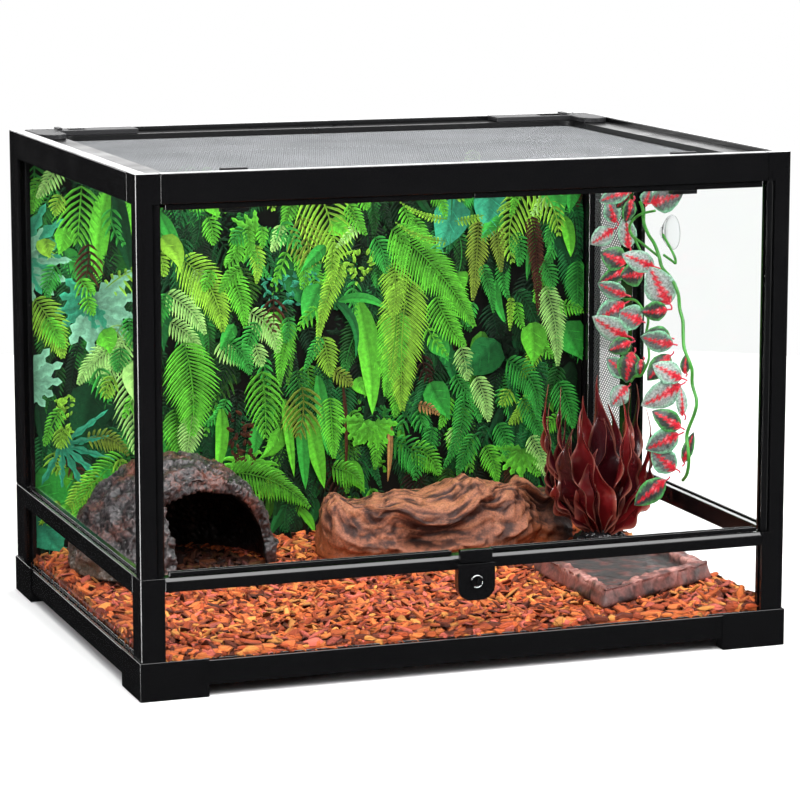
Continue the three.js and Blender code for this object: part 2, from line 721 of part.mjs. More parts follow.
function addVine() {
  const strands = [
    [[0.59, 1.1], [0.54, 0.9], [0.5, 0.8], [0.46, 0.68], [0.4, 0.52], [0.4, 0.38], [0.47, 0.24]],
    [[0.5, 0.8], [0.6, 0.98], [0.72, 1.12], [0.85, 1.08], [0.88, 0.85], [0.82, 0.65], [0.72, 0.5]],
  ].map(stemCurve);
  const section = new THREE.Shape();
  section.absarc(0, 0, vineRadius, 0, 2 * Math.PI);
  const stems = strands.map((curve) => {
    const options = { extrudePath: curve, steps: 30, bevelEnabled: false, curveSegments: 4 };
    return solidOf(new THREE.ExtrudeGeometry(section, options));
  });
  const leaves = strands.flatMap((curve, strand) =>
    [0.12, 0.3, 0.45, 0.6, 0.75, 0.9, 0.99].map((t, i) => {
      const root = curve.getPoint(t);
      const swing = (i % 2 ? 1 : -1) * (strand ? 0.8 : 0.5) - 0.2;
      const dir = new THREE.Vector3(-0.12, Math.sin(swing), -Math.cos(swing)).normalize();
      const across = new THREE.Vector3(-0.25, Math.cos(swing), Math.sin(swing)).normalize();
      const tip = root.clone().addScaledVector(dir, vineLeafLength);
      const bow = root.clone().lerp(tip, 0.5).add(new THREE.Vector3(-8, 0, 4));
      root.addScaledVector(dir, -1);
      return blade(root, bow, tip, across, vineLeafWidth, leafThickness, 6);
    }),
  );
  add("hanging_vine", join(...stems, ...leaves), vineLeaf);
}

addFeet();
addBaseRails();
addLowerPosts();
addMiddleRails();
addUpperPosts();
addTopRails();
addWalls();
for (const [side, x] of Object.entries(sides)) addDoor(side, x);
addLatch();
addLid();
for (const [side, x] of Object.entries(sides)) {
  addTurnLock(side, x);
  addCablePort(side, x);
}
addBedding();
addHide();
addDriftwood();
addDish();
addPlant();
addSuctionCup();
addVine();

cage.position.y = (latchProud + keyProud - footProud) / 2;

export default cage;
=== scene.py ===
import math

import bpy
import numpy as np
from mathutils import Euler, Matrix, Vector, noise


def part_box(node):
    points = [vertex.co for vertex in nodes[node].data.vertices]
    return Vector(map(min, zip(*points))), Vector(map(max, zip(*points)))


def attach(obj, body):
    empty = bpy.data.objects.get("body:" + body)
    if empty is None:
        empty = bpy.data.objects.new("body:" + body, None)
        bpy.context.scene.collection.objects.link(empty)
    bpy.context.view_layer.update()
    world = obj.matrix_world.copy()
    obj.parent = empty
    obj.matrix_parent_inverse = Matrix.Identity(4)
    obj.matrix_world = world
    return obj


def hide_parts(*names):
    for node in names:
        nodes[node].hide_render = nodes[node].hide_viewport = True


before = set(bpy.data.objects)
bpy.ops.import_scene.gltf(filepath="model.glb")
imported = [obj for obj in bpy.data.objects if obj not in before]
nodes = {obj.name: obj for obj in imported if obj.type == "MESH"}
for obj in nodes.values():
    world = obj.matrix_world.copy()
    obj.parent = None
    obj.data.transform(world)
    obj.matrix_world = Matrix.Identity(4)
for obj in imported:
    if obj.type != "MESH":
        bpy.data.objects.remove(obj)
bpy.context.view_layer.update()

mm = 0.001
draw = np.random.default_rng(11)


def linear(text):
    # an sRGB hex colour as linear red, green, blue and alpha
    parts = [int(text[i : i + 2], 16) / 255 for i in (1, 3, 5)]
    return tuple(c / 12.92 if c <= 0.04045 else ((c + 0.055) / 1.055) ** 2.4 for c in parts) + (1.0,)


def rgb(text):
    return np.array(linear(text)[:3])


def addNode(tree, kind, inputs=None, stops=None, **settings):
    made = tree.nodes.new("ShaderNode" + kind)
    for name, value in settings.items():
        setattr(made, name, value)
    for name, value in (inputs or {}).items():
        if isinstance(value, bpy.types.NodeSocket):
            tree.links.new(value, made.inputs[name])
        else:
            made.inputs[name].default_value = value
    if stops:
        ramp = made.color_ramp
        while len(ramp.elements) < len(stops):
            ramp.elements.new(0.5)
        for element, (place, colour) in zip(ramp.elements, stops):
            element.position = place
            element.color = linear(colour)
    return made


def newMaterial(name, inputs):
    made = bpy.data.materials.new(name)
    made.use_nodes = True
    tree = made.node_tree
    tree.nodes.clear()
    shader = addNode(tree, "BsdfPrincipled", inputs)
    addNode(tree, "OutputMaterial", {"Surface": shader.outputs[0]})
    return made, tree, shader


def boxOf(name):
    low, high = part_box(name)
    return np.array(low) / mm, np.array(high) / mm


def makePiece(name, points, faces, look, body, slot=None, replaces=(), smooth=True):
    mesh = bpy.data.meshes.new(name)
    mesh.from_pydata((np.asarray(points) * mm).tolist(), [], faces)
    mesh.update()
    mesh.shade_smooth() if smooth else mesh.shade_flat()
    made = bpy.data.objects.new(name, mesh)
    bpy.context.scene.collection.objects.link(made)
    mesh.materials.append(look)
    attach(made, body)
    if replaces:
        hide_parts(*replaces)
    return made


def paint(piece, name, values, kind="FLOAT_COLOR"):
    attribute = piece.data.attributes.new(name, kind, "POINT")
    values = np.asarray(values, np.float32)
    if kind == "FLOAT_COLOR":
        values = np.hstack([values, np.ones((len(values), 1), np.float32)])
        attribute.data.foreach_set("color", values.ravel())
    elif kind == "FLOAT_VECTOR":
        attribute.data.foreach_set("vector", values.ravel())
    else:
        attribute.data.foreach_set("value", values.ravel())


class Heap:
    # gathers the many small parts of one piece, with a tint and a place along the grain for each point
    def __init__(self):
        self.points, self.faces, self.tints, self.grains, self.count = [], [], [], [], 0

    def add(self, points, faces, tints, grains=None):
        points = np.asarray(points, float)
        self.points.append(points)
        self.faces.extend([tuple(i + self.count for i in f) for f in faces])
        self.tints.append(np.broadcast_to(tints, (len(points), 3)))
        self.grains.append(np.zeros((len(points), 3)) if grains is None else grains)
        self.count += len(points)

    def piece(self, name, look, body, **more):
        made = makePiece(name, np.vstack(self.points), self.faces, look, body, **more)
        paint(made, "tint", np.vstack(self.tints))
        paint(made, "grain", np.vstack(self.grains), "FLOAT_VECTOR")
        return made


def fractal(points, size, octaves=4):
    return np.array([noise.fractal(Vector(p / size), 1.0, 2.0, octaves) for p in points])


def ridges(points, size, octaves=4):
    # sharp creases, spread about 0 with a spread of 1
    crease = [noise.ridged_multi_fractal(Vector(p / size), 0.9, 2.0, octaves, 1.0, 2.0) for p in points]
    return (np.array(crease) - np.mean(crease)) / np.std(crease)


def bezier(a, b, c, t):
    t = np.asarray(t)[:, None]
    return (1 - t) ** 2 * np.asarray(a) + 2 * t * (1 - t) * np.asarray(b) + t**2 * np.asarray(c)


def headings(line):
    # the way a line of points runs at each of its points
    along = np.gradient(line, axis=0)
    return along / (np.linalg.norm(along, axis=1)[:, None] + 1e-9)


def skinned(rows, columns):
    # the faces of a thin sheet: a front grid, a rear grid after it, and the walls between their rims
    total = rows * columns
    faces = []
    for row in range(rows - 1):
        for c in range(columns - 1):
            a = row * columns + c
            faces.append((a, a + 1, a + columns + 1, a + columns))
            faces.append((total + a + columns, total + a + columns + 1, total + a + 1, total + a))
        a, b = row * columns, row * columns + columns - 1
        faces.append((a, a + columns, total + a + columns, total + a))
        faces.append((b + columns, b, total + b, total + b + columns))
    last = total - columns
    faces.append(tuple(range(columns - 1, -1, -1)) + tuple(range(total, total + columns)))
    faces.append(tuple(range(last, total)) + tuple(range(2 * total - 1, 2 * total - columns - 1, -1)))
    return faces


# camera: a long lens, a little left of the front and a little above the rim
camera = {
    "place": (-1.02985, -2.89296, 0.73627), "tilt": 80.2695, "turn": -19.813,
    "lens": 148.58, "sensor": 36, "farthest": 50,
}
eye = bpy.data.cameras.new("camera")
eye.lens, eye.sensor_width, eye.clip_end = camera["lens"], camera["sensor"], camera["farthest"]
eyeObject = bpy.data.objects.new("camera", eye)
eyeObject.location = camera["place"]
eyeObject.rotation_euler = (math.radians(camera["tilt"]), 0, math.radians(camera["turn"]))
bpy.context.scene.collection.objects.link(eyeObject)
bpy.context.scene.camera = eyeObject

# studio: white floor and sky, a big soft lamp over the front, a bright low wall behind for the rims to mirror
studio = {"floorRadius": 1.7, "floorSides": 96, "floorDrop": 0.0004, "sky": 0.6}
lamps = {
    "keyLamp": {"place": (-1.2, -2.2, 1.9), "target": (0, 0, 0.2), "size": (1.6, 1.2), "watts": 40},
    "fillLamp": {"place": (2.0, -1.4, 1.1), "target": (0, 0, 0.2), "size": (1.2, 1.4), "watts": 24},
    "topLamp": {"place": (0.3, -0.5, 1.9), "target": (0, 0, 0.2), "size": (2.4, 2.0), "watts": 110},
    "edgeLamp": {"place": (-2.3, -0.85, 0.25), "target": (0, -0.1, 0.25), "size": (0.35, 1.5), "watts": 40},
    "backWall": {"place": (0.4, 2.4, 0.76), "target": (0, 0, 0.45), "size": (5.0, 0.56), "watts": 24},
}
bpy.context.scene.view_settings.view_transform = "Standard"
world = bpy.data.worlds.new("softbox")
bpy.context.scene.world = world
world.use_nodes = True
sky = world.node_tree
sky.nodes.clear()
heading = addNode(sky, "TexCoord")
axes = addNode(sky, "SeparateXYZ", {"Vector": heading.outputs["Generated"]})
height = {"Value": axes.outputs["Z"], "From Min": -0.05, "From Max": 0.8, "To Min": 0.02, "To Max": 1.0}
rise = addNode(sky, "MapRange", height)
depth = {"Value": axes.outputs["Y"], "From Min": -0.2, "From Max": 0.8, "To Min": 0.45, "To Max": 1.2}
back = addNode(sky, "MapRange", depth)
glow = addNode(sky, "Math", {0: rise.outputs[0], 1: back.outputs[0]}, operation="MULTIPLY")
dim = addNode(sky, "Math", {0: glow.outputs[0], 1: studio["sky"]}, operation="MULTIPLY")
ray = addNode(sky, "LightPath")
lit = addNode(sky, "Background", {"Color": (1, 1, 1, 1), "Strength": dim.outputs[0]})
seen = addNode(sky, "Background", {"Color": (1, 1, 1, 1), "Strength": 1.0})
pick = addNode(sky, "MixShader", {0: ray.outputs["Is Camera Ray"], 1: lit.outputs[0], 2: seen.outputs[0]})
addNode(sky, "OutputWorld", {"Surface": pick.outputs[0]})


def addLamp(name, place, target, size, watts):
    lamp = bpy.data.lights.new(name, "AREA")
    lamp.shape, lamp.size, lamp.size_y = "RECTANGLE", size[0], size[1]
    lamp.energy = watts
    made = bpy.data.objects.new(name, lamp)
    made.location = place
    made.rotation_euler = (Vector(target) - Vector(place)).to_track_quat("-Z", "Y").to_euler()
    made.visible_camera = False
    bpy.context.scene.collection.objects.link(made)


for name, lamp in lamps.items():
    addLamp(name, **lamp)

# paper sweep, matte white
whitePaper, tree, shader = newMaterial("whitePaper", {"Base Color": linear("#F4F4F4"), "Roughness": 0.9})
disc = bpy.data.meshes.new("floor")
radius, drop = studio["floorRadius"], studio["floorDrop"]
turn = np.linspace(0, 2 * math.pi, studio["floorSides"], endpoint=False)
disc.from_pydata([(radius * math.cos(a), radius * math.sin(a), -drop) for a in turn], [], [tuple(range(len(turn)))])
disc.materials.append(whitePaper)
floor = bpy.data.objects.new("floor", disc)
bpy.context.scene.collection.objects.link(floor)
floor.visible_glossy = False
print("studio ready")

# ABS, injection moulded in a polished tool: near black, wet-looking gloss with faint orange peel
glossyAbs, tree, shader = newMaterial(
    "glossyAbs", {"Base Color": linear("#0B0B0C"), "Roughness": 0.16, "IOR": 1.5, "Specular IOR Level": 0.5}
)
place = addNode(tree, "TexCoord")
peel = addNode(tree, "TexNoise", {"Vector": place.outputs["Object"], "Scale": 260.0, "Detail": 3.0})
wipe = addNode(tree, "TexNoise", {"Vector": place.outputs["Object"], "Scale": 22.0, "Detail": 5.0})
wiped = {"Value": wipe.outputs[0], "From Min": 0.3, "From Max": 0.7, "To Min": 0.11, "To Max": 0.23}
gloss = addNode(tree, "MapRange", wiped)
lumps = addNode(tree, "Bump", {"Height": peel.outputs[0], "Strength": 0.06, "Distance": 0.0004})
tree.links.new(gloss.outputs[0], shader.inputs["Roughness"])
tree.links.new(lumps.outputs[0], shader.inputs["Normal"])

# ABS, extruded lid frame: the same black, drawn a little duller
drawnAbs, tree, shader = newMaterial(
    "drawnAbs", {"Base Color": linear("#0B0B0C"), "Roughness": 0.3, "Specular IOR Level": 0.4}
)
place = addNode(tree, "TexCoord")
streak = addNode(tree, "TexNoise", {"Vector": place.outputs["Object"], "Scale": 30.0, "Detail": 4.0})
streaked = {"Value": streak.outputs[0], "From Min": 0.3, "From Max": 0.7, "To Min": 0.26, "To Max": 0.36}
gloss = addNode(tree, "MapRange", streaked)
tree.links.new(gloss.outputs[0], shader.inputs["Roughness"])

# ABS, moulded with a fine spark-eroded skin: dark grey satin
satinAbs, tree, shader = newMaterial("satinAbs", {"Base Color": linear("#1D1D1F"), "Roughness": 0.42})
place = addNode(tree, "TexCoord")
skin = addNode(tree, "TexNoise", {"Vector": place.outputs["Object"], "Scale": 1100.0, "Detail": 2.0})
lumps = addNode(tree, "Bump", {"Height": skin.outputs[0], "Strength": 0.2, "Distance": 0.0003})
tree.links.new(lumps.outputs[0], shader.inputs["Normal"])


def clearMaterial(name, finish):
    # see-through face on, and a mirror at a low angle
    made = bpy.data.materials.new(name)
    made.use_nodes = True
    tree = made.node_tree
    tree.nodes.clear()
    facing = addNode(tree, "LayerWeight", {"Blend": 0.5})
    steep = addNode(tree, "Math", {0: facing.outputs["Facing"], 1: finish["steep"]}, operation="POWER")
    low, high = finish["mirror"]
    mirror = addNode(tree, "MapRange", {"Value": steep.outputs[0], "To Min": low, "To Max": high})
    through = addNode(tree, "BsdfTransparent", {"Color": finish["through"]})
    shine = addNode(tree, "BsdfGlossy", {"Color": finish["shine"], "Roughness": finish["roughness"]})
    skin = addNode(tree, "MixShader", {0: mirror.outputs[0], 1: through.outputs[0], 2: shine.outputs[0]})
    addNode(tree, "OutputMaterial", {"Surface": skin.outputs[0]})
    return made


# soda-lime float glass, 4 mm: clear, a faint green cast, mirrors only at a low angle
floatGlass = clearMaterial("floatGlass", {
    "steep": 5.0, "mirror": (0.004, 0.22), "through": (0.996, 1, 0.998, 1), "shine": (1, 1, 1, 1), "roughness": 0.02,
})
# clear soft vinyl, moulded: see-through with grey rings where it curves
clearVinyl = clearMaterial("clearVinyl", {
    "steep": 4.5, "mirror": (0.01, 0.9), "through": (0.98, 0.99, 0.99, 1), "shine": (0.42, 0.45, 0.47, 1),
    "roughness": 0.08,
})

# stainless wire, drawn and plain woven: dull grey with a soft sheen
wovenWire, tree, shader = newMaterial("wovenWire", {"Metallic": 1.0, "Roughness": 0.45})
place = addNode(tree, "TexCoord")
cloud = addNode(tree, "TexNoise", {"Vector": place.outputs["Object"], "Scale": 14.0, "Detail": 4.0})
tone = addNode(tree, "ValToRGB", {"Fac": cloud.outputs[0]}, stops=[(0.3, "#7A7C7E"), (0.7, "#888A8C")])
tree.links.new(tone.outputs[0], shader.inputs["Base Color"])

# zinc die casting, chrome plated: mirror bright
chromeZinc, tree, shader = newMaterial(
    "chromeZinc", {"Base Color": linear("#D8DADC"), "Metallic": 1.0, "Roughness": 0.12}
)
place = addNode(tree, "TexCoord")
scuff = addNode(tree, "TexNoise", {"Vector": place.outputs["Object"], "Scale": 900.0, "Detail": 2.0})
gloss = addNode(tree, "MapRange", {"Value": scuff.outputs[0], "To Min": 0.08, "To Max": 0.2})
tree.links.new(gloss.outputs[0], shader.inputs["Roughness"])


def tintedMaterial(name, inputs, scale, low, high, bump=0.0, grainScale=None):
    # its colour is the piece's tint, made lighter and darker by a pattern of that many cycles a metre
    # a grain scale stretches the pattern along each part's own grain, given in millimetres
    made, tree, shader = newMaterial(name, inputs)
    tint = addNode(tree, "Attribute", attribute_name="tint")
    if grainScale:
        grain = addNode(tree, "Attribute", attribute_name="grain")
        place = addNode(tree, "Mapping", {"Vector": grain.outputs["Vector"], "Scale": grainScale}).outputs[0]
    else:
        place = addNode(tree, "TexCoord").outputs["Object"]
    pattern = addNode(tree, "TexNoise", {"Vector": place, "Scale": scale, "Detail": 5.0, "Roughness": 0.6})
    spread = {"Value": pattern.outputs[0], "From Min": 0.3, "From Max": 0.7, "To Min": low, "To Max": high}
    shade = addNode(tree, "MapRange", spread)
    colour = addNode(tree, "VectorMath", {0: tint.outputs["Color"], "Scale": shade.outputs[0]}, operation="SCALE")
    tree.links.new(colour.outputs[0], shader.inputs["Base Color"])
    if bump:
        relief = addNode(tree, "Bump", {"Height": pattern.outputs[0], "Strength": 0.6, "Distance": bump})
        tree.links.new(relief.outputs[0], shader.inputs["Normal"])
    return made


# polypropylene sheet, offset printed: satin, saturated inks
printedSheet = tintedMaterial("printedSheet", {"Roughness": 0.5, "Specular IOR Level": 0.3}, 260.0, 0.72, 1.3)
# pine bark, chipped and dyed: matte fibres with a darker grain along each chip
pineBark = tintedMaterial(
    "pineBark", {"Roughness": 0.68, "Specular IOR Level": 0.4}, 1.0, 0.78, 1.3, 0.0008, (0.5, 2.2, 1.0)
)
# PVC foliage, moulded soft: waxy, with a bright skin
waxy = {"Roughness": 0.27, "Specular IOR Level": 0.6, "Coat Weight": 0.35, "Coat Roughness": 0.12}
softPvc = tintedMaterial("softPvc", waxy, 60.0, 0.75, 1.25, 0.001)
# PE vine: satin, screen printed leaves with fine flecks, and plain green stems
printedPe = tintedMaterial("printedPe", {"Roughness": 0.38}, 560.0, 0.35, 1.5)
greenPe = tintedMaterial("greenPe", {"Roughness": 0.35}, 90.0, 0.75, 1.3)
# river pebbles set in resin: wet black
wetPebble = tintedMaterial("wetPebble", {"Roughness": 0.14, "Specular IOR Level": 0.6}, 120.0, 0.5, 1.6)
# resin and crushed stone, cast in a crumpled mould: hard, part glossy, with reddish veins
castStone = tintedMaterial("castStone", {"Roughness": 0.33, "Specular IOR Level": 0.55}, 380.0, 0.45, 1.7, 0.0012)
# weathered root wood: matte, with long grooves and dark seams
rootWood = tintedMaterial("rootWood", {"Roughness": 0.62, "Specular IOR Level": 0.35}, 500.0, 0.55, 1.45, 0.0008)
# resin and stone, hand rubbed: satin
rubbedStone = tintedMaterial("rubbedStone", {"Roughness": 0.4, "Specular IOR Level": 0.5}, 260.0, 0.6, 1.4, 0.0008)
print("materials ready")

# the black frame keeps its shapes, with the small moulded radii that catch the light along every edge
frameWork = {
    "radius": 0.9, "smallRadius": 0.5, "segments": 3, "sharp": 35,  # edges turning more than this many degrees
    "cornerRadius": 2.4, "cornerSegments": 5, "cornerReach": 0.4, "flat": 0.8, "weld": 0.02,
}
replaced = """
    lid_screen vent_screen background_card bark_bedding rock_hide driftwood_log water_dish plant_base aloe_plant
    hanging_vine suction_cup
""".split()
small = ("strip", "stile", "lock", "port", "gate", "latch", "key")
finishes = {"glass": floatGlass, "port": satinAbs, "turn_lock": satinAbs, "screen_frame": drawnAbs}
for name, node in nodes.items():
    if name in replaced:
        continue
    node.material_slots[0].link = "OBJECT"
    node.material_slots[0].material = next((look for word, look in finishes.items() if word in name), glossyAbs)
    if "glass" in name:
        continue
    weld = node.modifiers.new("weld", "WELD")
    weld.merge_threshold = frameWork["weld"] * mm
    flat = node.modifiers.new("flat", "DECIMATE")
    flat.decimate_type, flat.angle_limit = "DISSOLVE", math.radians(frameWork["flat"])
    if name.endswith("_post"):
        low, high = boxOf(name)
        corner = np.array([high[0] if "right" in name else low[0], high[1] if "back" in name else low[1]])
        points = [node.matrix_world @ v.co / mm for v in node.data.vertices]
        near = [i for i, p in enumerate(points) if np.linalg.norm(p[:2] - corner) < frameWork["cornerReach"]]
        outer = node.vertex_groups.new(name="outer")
        outer.add(near, 1.0, "REPLACE")
        turned = node.modifiers.new("turned", "BEVEL")
        turned.width, turned.segments = frameWork["cornerRadius"] * mm, frameWork["cornerSegments"]
        turned.limit_method, turned.vertex_group = "VGROUP", "outer"
    edge = node.modifiers.new("edge", "BEVEL")
    edge.width = frameWork["smallRadius" if any(w in name for w in small) else "radius"] * mm
    edge.segments, edge.miter_outer = frameWork["segments"], "MITER_ARC"
    edge.limit_method, edge.angle_limit = "ANGLE", math.radians(frameWork["sharp"])
    even = node.modifiers.new("even", "WEIGHTED_NORMAL")
    even.keep_sharp = True
print("frame ready")

# woven screens: zigzag wires that pass over and under each other, drawn coarser than real so that they show
screens = {
    "lid_screen": {"body": "lid", "pitch": 3.1, "wire": 0.62, "across": 0, "along": 1, "out": 2},
    "vent_screen": {"body": "tank", "pitch": 2.4, "wire": 0.85, "across": 1, "along": 2, "out": 0},
}


def weave(name, plan):
    low, high = boxOf(name)
    middle = (low + high) / 2
    for part, (u, v) in enumerate([(plan["across"], plan["along"]), (plan["along"], plan["across"])]):
        radius = plan["wire"] / 2
        alongU = np.arange(low[u], high[u], plan["pitch"])
        alongV = np.arange(low[v] + plan["pitch"] / 2, high[v], plan["pitch"])
        rows, columns = np.meshgrid(np.arange(len(alongV)), np.arange(len(alongU)), indexing="ij")
        swing = np.where((rows + columns) % 2 == part, 1, -1) * plan["wire"] * 0.45
        ringPoints = []
        for angle in (90, 210, 330):
            points = np.zeros(rows.shape + (3,))
            points[..., u] = alongU[columns]
            points[..., v] = alongV[rows] + radius * math.cos(math.radians(angle))
            points[..., plan["out"]] = middle[plan["out"]] + swing + radius * math.sin(math.radians(angle))
            ringPoints.append(points)
        points = np.stack(ringPoints, axis=2)
        count = len(alongU)
        faces = []
        for row in range(len(alongV)):
            first = row * count * 3
            faces.append((first, first + 1, first + 2))
            last = first + (count - 1) * 3
            faces.append((last + 2, last + 1, last))
            for k in range(count - 1):
                a = first + k * 3
                faces += [(a + i, a + 3 + i, a + 3 + (i + 1) % 3, a + (i + 1) % 3) for i in range(3)]
        wires = name + ("_warp" if part else "_weft")
        makePiece(wires, points.reshape(-1, 3), faces, wovenWire, plan["body"], slot="woven_screen", replaces=(name,))


for name, plan in screens.items():
    weave(name, plan)
print("screens woven")

# foliage print: every leaf is a shallow lens in front of a black sheet, from the back of the bush to its front
inks = {
    "lime": "#8CCB38", "bright": "#62C832", "leaf": "#36A63C", "deep": "#1C7234", "dark": "#0C4020",
    "teal": "#35A27A", "mint": "#82C4A0", "pale": "#A6E37A", "olive": "#7F9C30", "brown": "#4E2A17", "tan": "#B88B52",
}
# half widths from the root to the tip, as shares of the widest
leafWidths = {
    "leaflet": (0.5, 1.0, 0.8, 0.0),
    "strap": (0.35, 0.8, 1.0, 1.0, 0.95, 0.85, 0.65, 0.4, 0.0),
    "heart": (0.25, 0.9, 1.0, 0.93, 0.75, 0.5, 0.2, 0.0),
    "jagged": (0.2, 0.9, 0.5, 1.1, 0.55, 0.95, 0.35, 0.5, 0.0),
}


# a leaf is darker along its crease and at its root, lighter on one side, and lightest at its tip
leafShade = {"crease": 0.8, "lit": 1.15, "shaded": 0.72, "root": 0.55, "gain": 0.75, "tip": 1.25}


def pressedLeaf(heap, root, bow, tip, half, widths, tint, y, ribs=1, lift=0.5):
    t = np.linspace(0, 1, len(widths))
    line = bezier(root, bow, tip, t)
    along = headings(line)
    side = np.stack([-along[:, 1], along[:, 0]], axis=1)
    columns = 2 * ribs + 1
    across = np.linspace(-1, 1, columns)
    points, tints = [], []
    for k, width in enumerate(widths[:-1]):
        for u in across:
            x, z = line[k] + side[k] * u * width * half
            rise = lift * (0.3 + math.sin(math.pi * t[k])) * (1 - 0.7 * abs(u))
            points.append((x, y - rise, z))
            shade = leafShade["crease"] if abs(u) < 0.05 else 1.0
            shade *= leafShade["lit"] if u < 0 else leafShade["shaded"]
            tints.append(tint * shade * (leafShade["root"] + leafShade["gain"] * t[k]))
    points.append((line[-1][0], y - 0.1, line[-1][1]))
    tints.append(tint * leafShade["tip"])
    end = len(points) - 1
    rows = len(widths) - 1
    faces = []
    for k in range(rows - 1):
        for c in range(columns - 1):
            a = k * columns + c
            faces.append((a, a + 1, a + columns + 1, a + columns))
    base = (rows - 1) * columns
    faces += [(base + c, base + c + 1, end) for c in range(columns - 1)]
    left = [k * columns for k in range(rows)]
    right = [k * columns + columns - 1 for k in range(rows)]
    faces.append(tuple(left + [end] + right[::-1] + list(range(columns - 2, 0, -1))))
    heap.add(points, faces, np.clip(tints, 0, 1))


def bowOf(a, b, bend):
    return (a + b) / 2 + bend * turnedBy(b - a, math.pi / 2)


def turnedBy(way, angle):
    c, s = math.cos(angle), math.sin(angle)
    return np.array([way[0] * c - way[1] * s, way[0] * s + way[1] * c])


# leaflets: millimetres apart, how far they hang, their half width as a share of the step, and their reach
fronds = {
    "frond": {"step": 3.5, "droop": 0.28, "fullness": 0.38, "reach": 1.12},
    "palm": {"step": 6.2, "droop": 0.55, "fullness": 0.24, "reach": 1.232},
    "taper": ((0, 0.12, 0.3, 0.75, 1), (0.72, 1.0, 1.0, 0.5, 0.1)), "spread": (72, 42),
}


def growFrond(heap, plan, a, b, bend, half, ink, y):
    length = np.linalg.norm(b - a)
    count = max(5, int(length / plan["step"]))
    t = (np.arange(count) + 0.5) / count
    line = bezier(a, bowOf(a, b, bend), b, t)
    along = headings(line)
    body = rgb(inks[ink]) * draw.uniform(0.85, 1.15)
    pressedLeaf(heap, a, bowOf(a, b, bend), b, 0.7, leafWidths["strap"], body * 0.8, y - 0.9, lift=0.2)
    for k in range(count):
        reach = half * plan["reach"] * np.interp(t[k], *fronds["taper"]) * draw.uniform(0.88, 1.08)
        spread = math.radians(np.interp(t[k], (0, 1), fronds["spread"]))
        for hand in (-1, 1):
            way = turnedBy(along[k], spread * hand) * reach
            tip = line[k] + way + (0, -plan["droop"] * reach)
            tint = body * draw.uniform(0.78, 1.22)
            pressedLeaf(heap, line[k], line[k] + way * 0.55, tip, plan["step"] * plan["fullness"],
                        leafWidths["leaflet"], tint, y - 0.4 - 0.3 * t[k], lift=0.45)


def growPlant(heap, kind, a, b, bend, half, ink, y):
    a, b = np.asarray(a, float), np.asarray(b, float)
    body = rgb(inks[ink])
    if kind in ("frond", "palm"):
        growFrond(heap, fronds[kind], a, b, bend, half, ink, y)
    elif kind == "blade":
        pressedLeaf(heap, a, bowOf(a, b, bend), b, half, leafWidths["strap"], body, y, ribs=3, lift=0.8)
    elif kind == "heart":
        pressedLeaf(heap, a, bowOf(a, b, bend), b, half, leafWidths["heart"], body, y, ribs=3, lift=1.0)
        way = (b - a) / np.linalg.norm(b - a)
        for share in (0.2, 0.4, 0.6, 0.8):  # pale veins
            for hand in (-1, 1):
                start = a + (b - a) * share
                out = hand * half * 0.8 * (1 - 0.6 * share) * turnedBy(way, math.pi / 2)
                end = start + way * half * 0.5 + out
                vein = body * 1.45
                pressedLeaf(heap, start, (start + end) / 2, end, 0.45, leafWidths["leaflet"], vein, y - 1.3, lift=0.1)
    elif kind == "lobed":
        for angle in (-75, -48, -22, 0, 24, 50, 78):
            end = a + turnedBy(b - a, math.radians(angle)) * draw.uniform(0.75, 1.0)
            tint = body * draw.uniform(0.8, 1.15)
            front = y - abs(angle) * 0.003
            pressedLeaf(heap, a, (a + end) / 2, end, half * 0.26, leafWidths["jagged"], tint, front, lift=0.7)
    elif kind == "rosette":
        for angle in np.linspace(8, 172, 9):
            reach = half * draw.uniform(0.7, 1.1)
            way = turnedBy((1, 0), math.radians(angle)) * reach
            up = a + way * 0.9
            end = up + (way[0] * 0.5, -reach * 0.35)
            pressedLeaf(heap, a, up, end, 2.6, leafWidths["strap"], body * draw.uniform(0.8, 1.2), y, lift=0.5)
    elif kind == "tuft":
        middle, wide = (a + b) / 2, np.abs(b - a) / 2 + half * 0.5
        for _ in range(46):
            spot = middle + draw.uniform(-1, 1, 2) * wide
            angle = draw.uniform(0, 2 * math.pi)
            end = spot + draw.uniform(4, 9) * turnedBy((1, 0), angle)
            width = draw.uniform(1.2, 2.2)
            tint = body * draw.uniform(0.6, 1.3)
            pressedLeaf(heap, spot, (spot + end) / 2, end, width, leafWidths["leaflet"], tint, y, lift=0.3)


